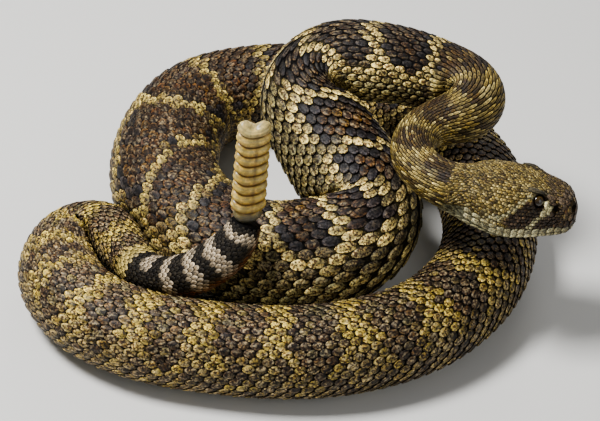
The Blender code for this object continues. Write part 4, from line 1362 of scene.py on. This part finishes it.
polar = np.pi * np.linspace(0.004, 1, EYE_RINGS) ** 1.2
polar, turns = np.meshgrid(polar, np.linspace(0, 2 * np.pi, EYE_COLUMNS, endpoint=False), indexing="ij")
local = np.stack([np.sin(polar) * np.cos(turns), np.sin(polar) * np.sin(turns), np.cos(polar)], -1)
slit = np.hypot(local[..., 0] / PUPIL_HALF[0], local[..., 1] / PUPIL_HALF[1])
ray = 0.5 + 0.5 * np.sin(turns * 23) * np.sin(turns * 7 + 1)
colour = layered(
    IRIS_BRASS,
    (IRIS_DARK, smooth_step(-local[..., 1], -0.45, 0.15) * 0.95),
    (IRIS_BRIGHT, bell(slit, 1.2, 0.25) * 0.3),
    (IRIS_FLECK, ray * 0.5),
    (JET * 0.4, smooth_step(np.hypot(local[..., 0], local[..., 1]), 0.72, 0.86)),
    (JET * 0.15, 1 - smooth_step(slit, 0.85, 1.05)),
)
tones = np.concatenate([colour.reshape(-1, 3), np.tile(JET * 0.15, (2, 1))])
for hand, (eye, look, top) in eyes.items():
    right = unit(np.cross(top, look))
    ball = eye + EYE_RADIUS * (local @ np.stack([right, np.cross(look, right), look]))
    poles = np.stack([eye + EYE_RADIUS * look, eye - EYE_RADIUS * look])
    piece = capped(f"eyeball_{hand}", ball, poles, tones, 0.25, turned=True)
    piece.data.materials.append(eye_finish)
    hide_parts(f"eye_{hand}")

# The rattle: ten loose horny lobes threaded on each other, each a flat oval button with a wavy rim and a
# groove down the middle of its broad faces. The youngest, at the root, is still grey.
LOBES = 10
RATTLE_BASE_MM = (-20.4, -44.2, 58.6)
RATTLE_TOP_MM = (-16.9, -36.3, 98.4)
HALF_BROAD = 0.0071
HALF_THIN = 0.0044
THIN_WAY = (0.22, -0.96, 0.0)
TAPER = 0.05
ROOT_SMALLER = 0.18
WAIST = 0.05
LOBE_GAP = 0.0003
GROOVE = 0.22
LOBE_HEIGHT = (0, 0.1, 0.28, 0.5, 0.72, 0.9, 1.0)
LOBE_SWELL = (0.86, 0.94, 0.985, 1.0, 0.98, 0.93, 0.84)
LAST_SWELL = (0.86, 0.94, 0.97, 0.96, 0.88, 0.72, 0.48)
LAST_WAVE = 0.0011
HONEY = paint(222, 188, 108)
AMBER = paint(120, 80, 30)
# The next colour is the pale horn of the lobes at the tip and, across each lobe, a painted highlight.
PALE_HORN_AND_HIGHLIGHT = paint(248, 232, 178)
ROOT_GREY = paint(74, 72, 60)
middle = np.array([CENTRE_X_MM, CENTRE_Y_MM, 0])
rattle_base = (np.array(RATTLE_BASE_MM) - middle) * MM
rattle_top = (np.array(RATTLE_TOP_MM) - middle) * MM
lobe_pitch = np.linalg.norm(rattle_top - rattle_base) / LOBES
rattle_axis = unit((rattle_top - rattle_base)[None])[0]
thin = np.array(THIN_WAY)
thin = unit((thin - rattle_axis * thin.dot(rattle_axis))[None])[0]
broad = np.cross(rattle_axis, thin)
turns = np.linspace(0, 2 * np.pi, 80, endpoint=False)
rise_share = 0.5 - 0.5 * np.cos(np.pi * np.linspace(0, 1, 21))
horn_glow = {"Subsurface Weight": 0.15, "Subsurface Radius": (0.002, 0.001, 0.0005)}
horn_finish = cover_material("rattle_horn", 420.0, 0.28, 0.5, 0.3, horn_glow)
pinch = 1 - GROOVE * np.abs(np.sin(turns)) ** 6
wave = 0.0008 * np.cos(2 * turns) + 0.00035 * np.sin(2 * turns)
level = rise_share[:, None] + 0 * turns
for number in range(LOBES):
    last = number == LOBES - 1
    swell = np.interp(rise_share, LOBE_HEIGHT, LAST_SWELL if last else LOBE_SWELL)[:, None]
    size = 1 - TAPER * number / (LOBES - 1) - (ROOT_SMALLER if number == 0 else 0)
    waist = 1 - WAIST * bell(rise_share, 0.62, 0.1)[:, None]
    across = HALF_BROAD * size * swell * waist * np.cos(turns)
    through_thin = HALF_THIN * size * swell * waist * np.sin(turns) * pinch
    up = number * lobe_pitch + LOBE_GAP / 2 + rise_share[:, None] * (lobe_pitch - LOBE_GAP) + wave
    if last:
        up = up + LAST_WAVE * rise_share[:, None] * (np.cos(turns) ** 2 - 0.5)
    lobe = rattle_base + up[:, :, None] * rattle_axis
    lobe = lobe + across[:, :, None] * broad + through_thin[:, :, None] * thin
    streak = 0.5 + 0.5 * np.sin(3 * turns + 1.7 * number) * np.cos(5 * turns + number)
    colour = layered(
        HONEY,
        (AMBER, (1 - smooth_step(level, 0.0, 0.35)) * 0.9),
        # Darker at each lobe's top, where it narrows under the next lobe: painted shade in the crease.
        (AMBER * 0.8, smooth_step(level, 0.86, 1.0) * 0.8),
        # A streaked pale band above each lobe's middle: painted highlight on its bulge.
        (PALE_HORN_AND_HIGHLIGHT, bell(level, 0.66, 0.2) * (0.25 + 0.5 * streak)),
        # Darker beside the groove down each broad face: painted shade in the groove.
        (AMBER * 0.6, bell(np.cos(turns), 0.12, 0.1) * 0.6),
        (PALE_HORN_AND_HIGHLIGHT, smooth_step(number, 7.5, 9.0) * 0.6),
        (ROOT_GREY, (1 - smooth_step(number + level, 0.2, 1.6)) * 0.95),
    )
    tones = np.concatenate([colour.reshape(-1, 3), colour[0, :1], colour[-1, :1]])
    piece = capped(f"rattle_{number + 1}", lobe, lobe[[0, -1]].mean(1), tones, 0.35)
    piece.data.materials.append(horn_finish)
    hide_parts(f"rattle_lobe_{number + 1}")

bpy.context.view_layer.update()
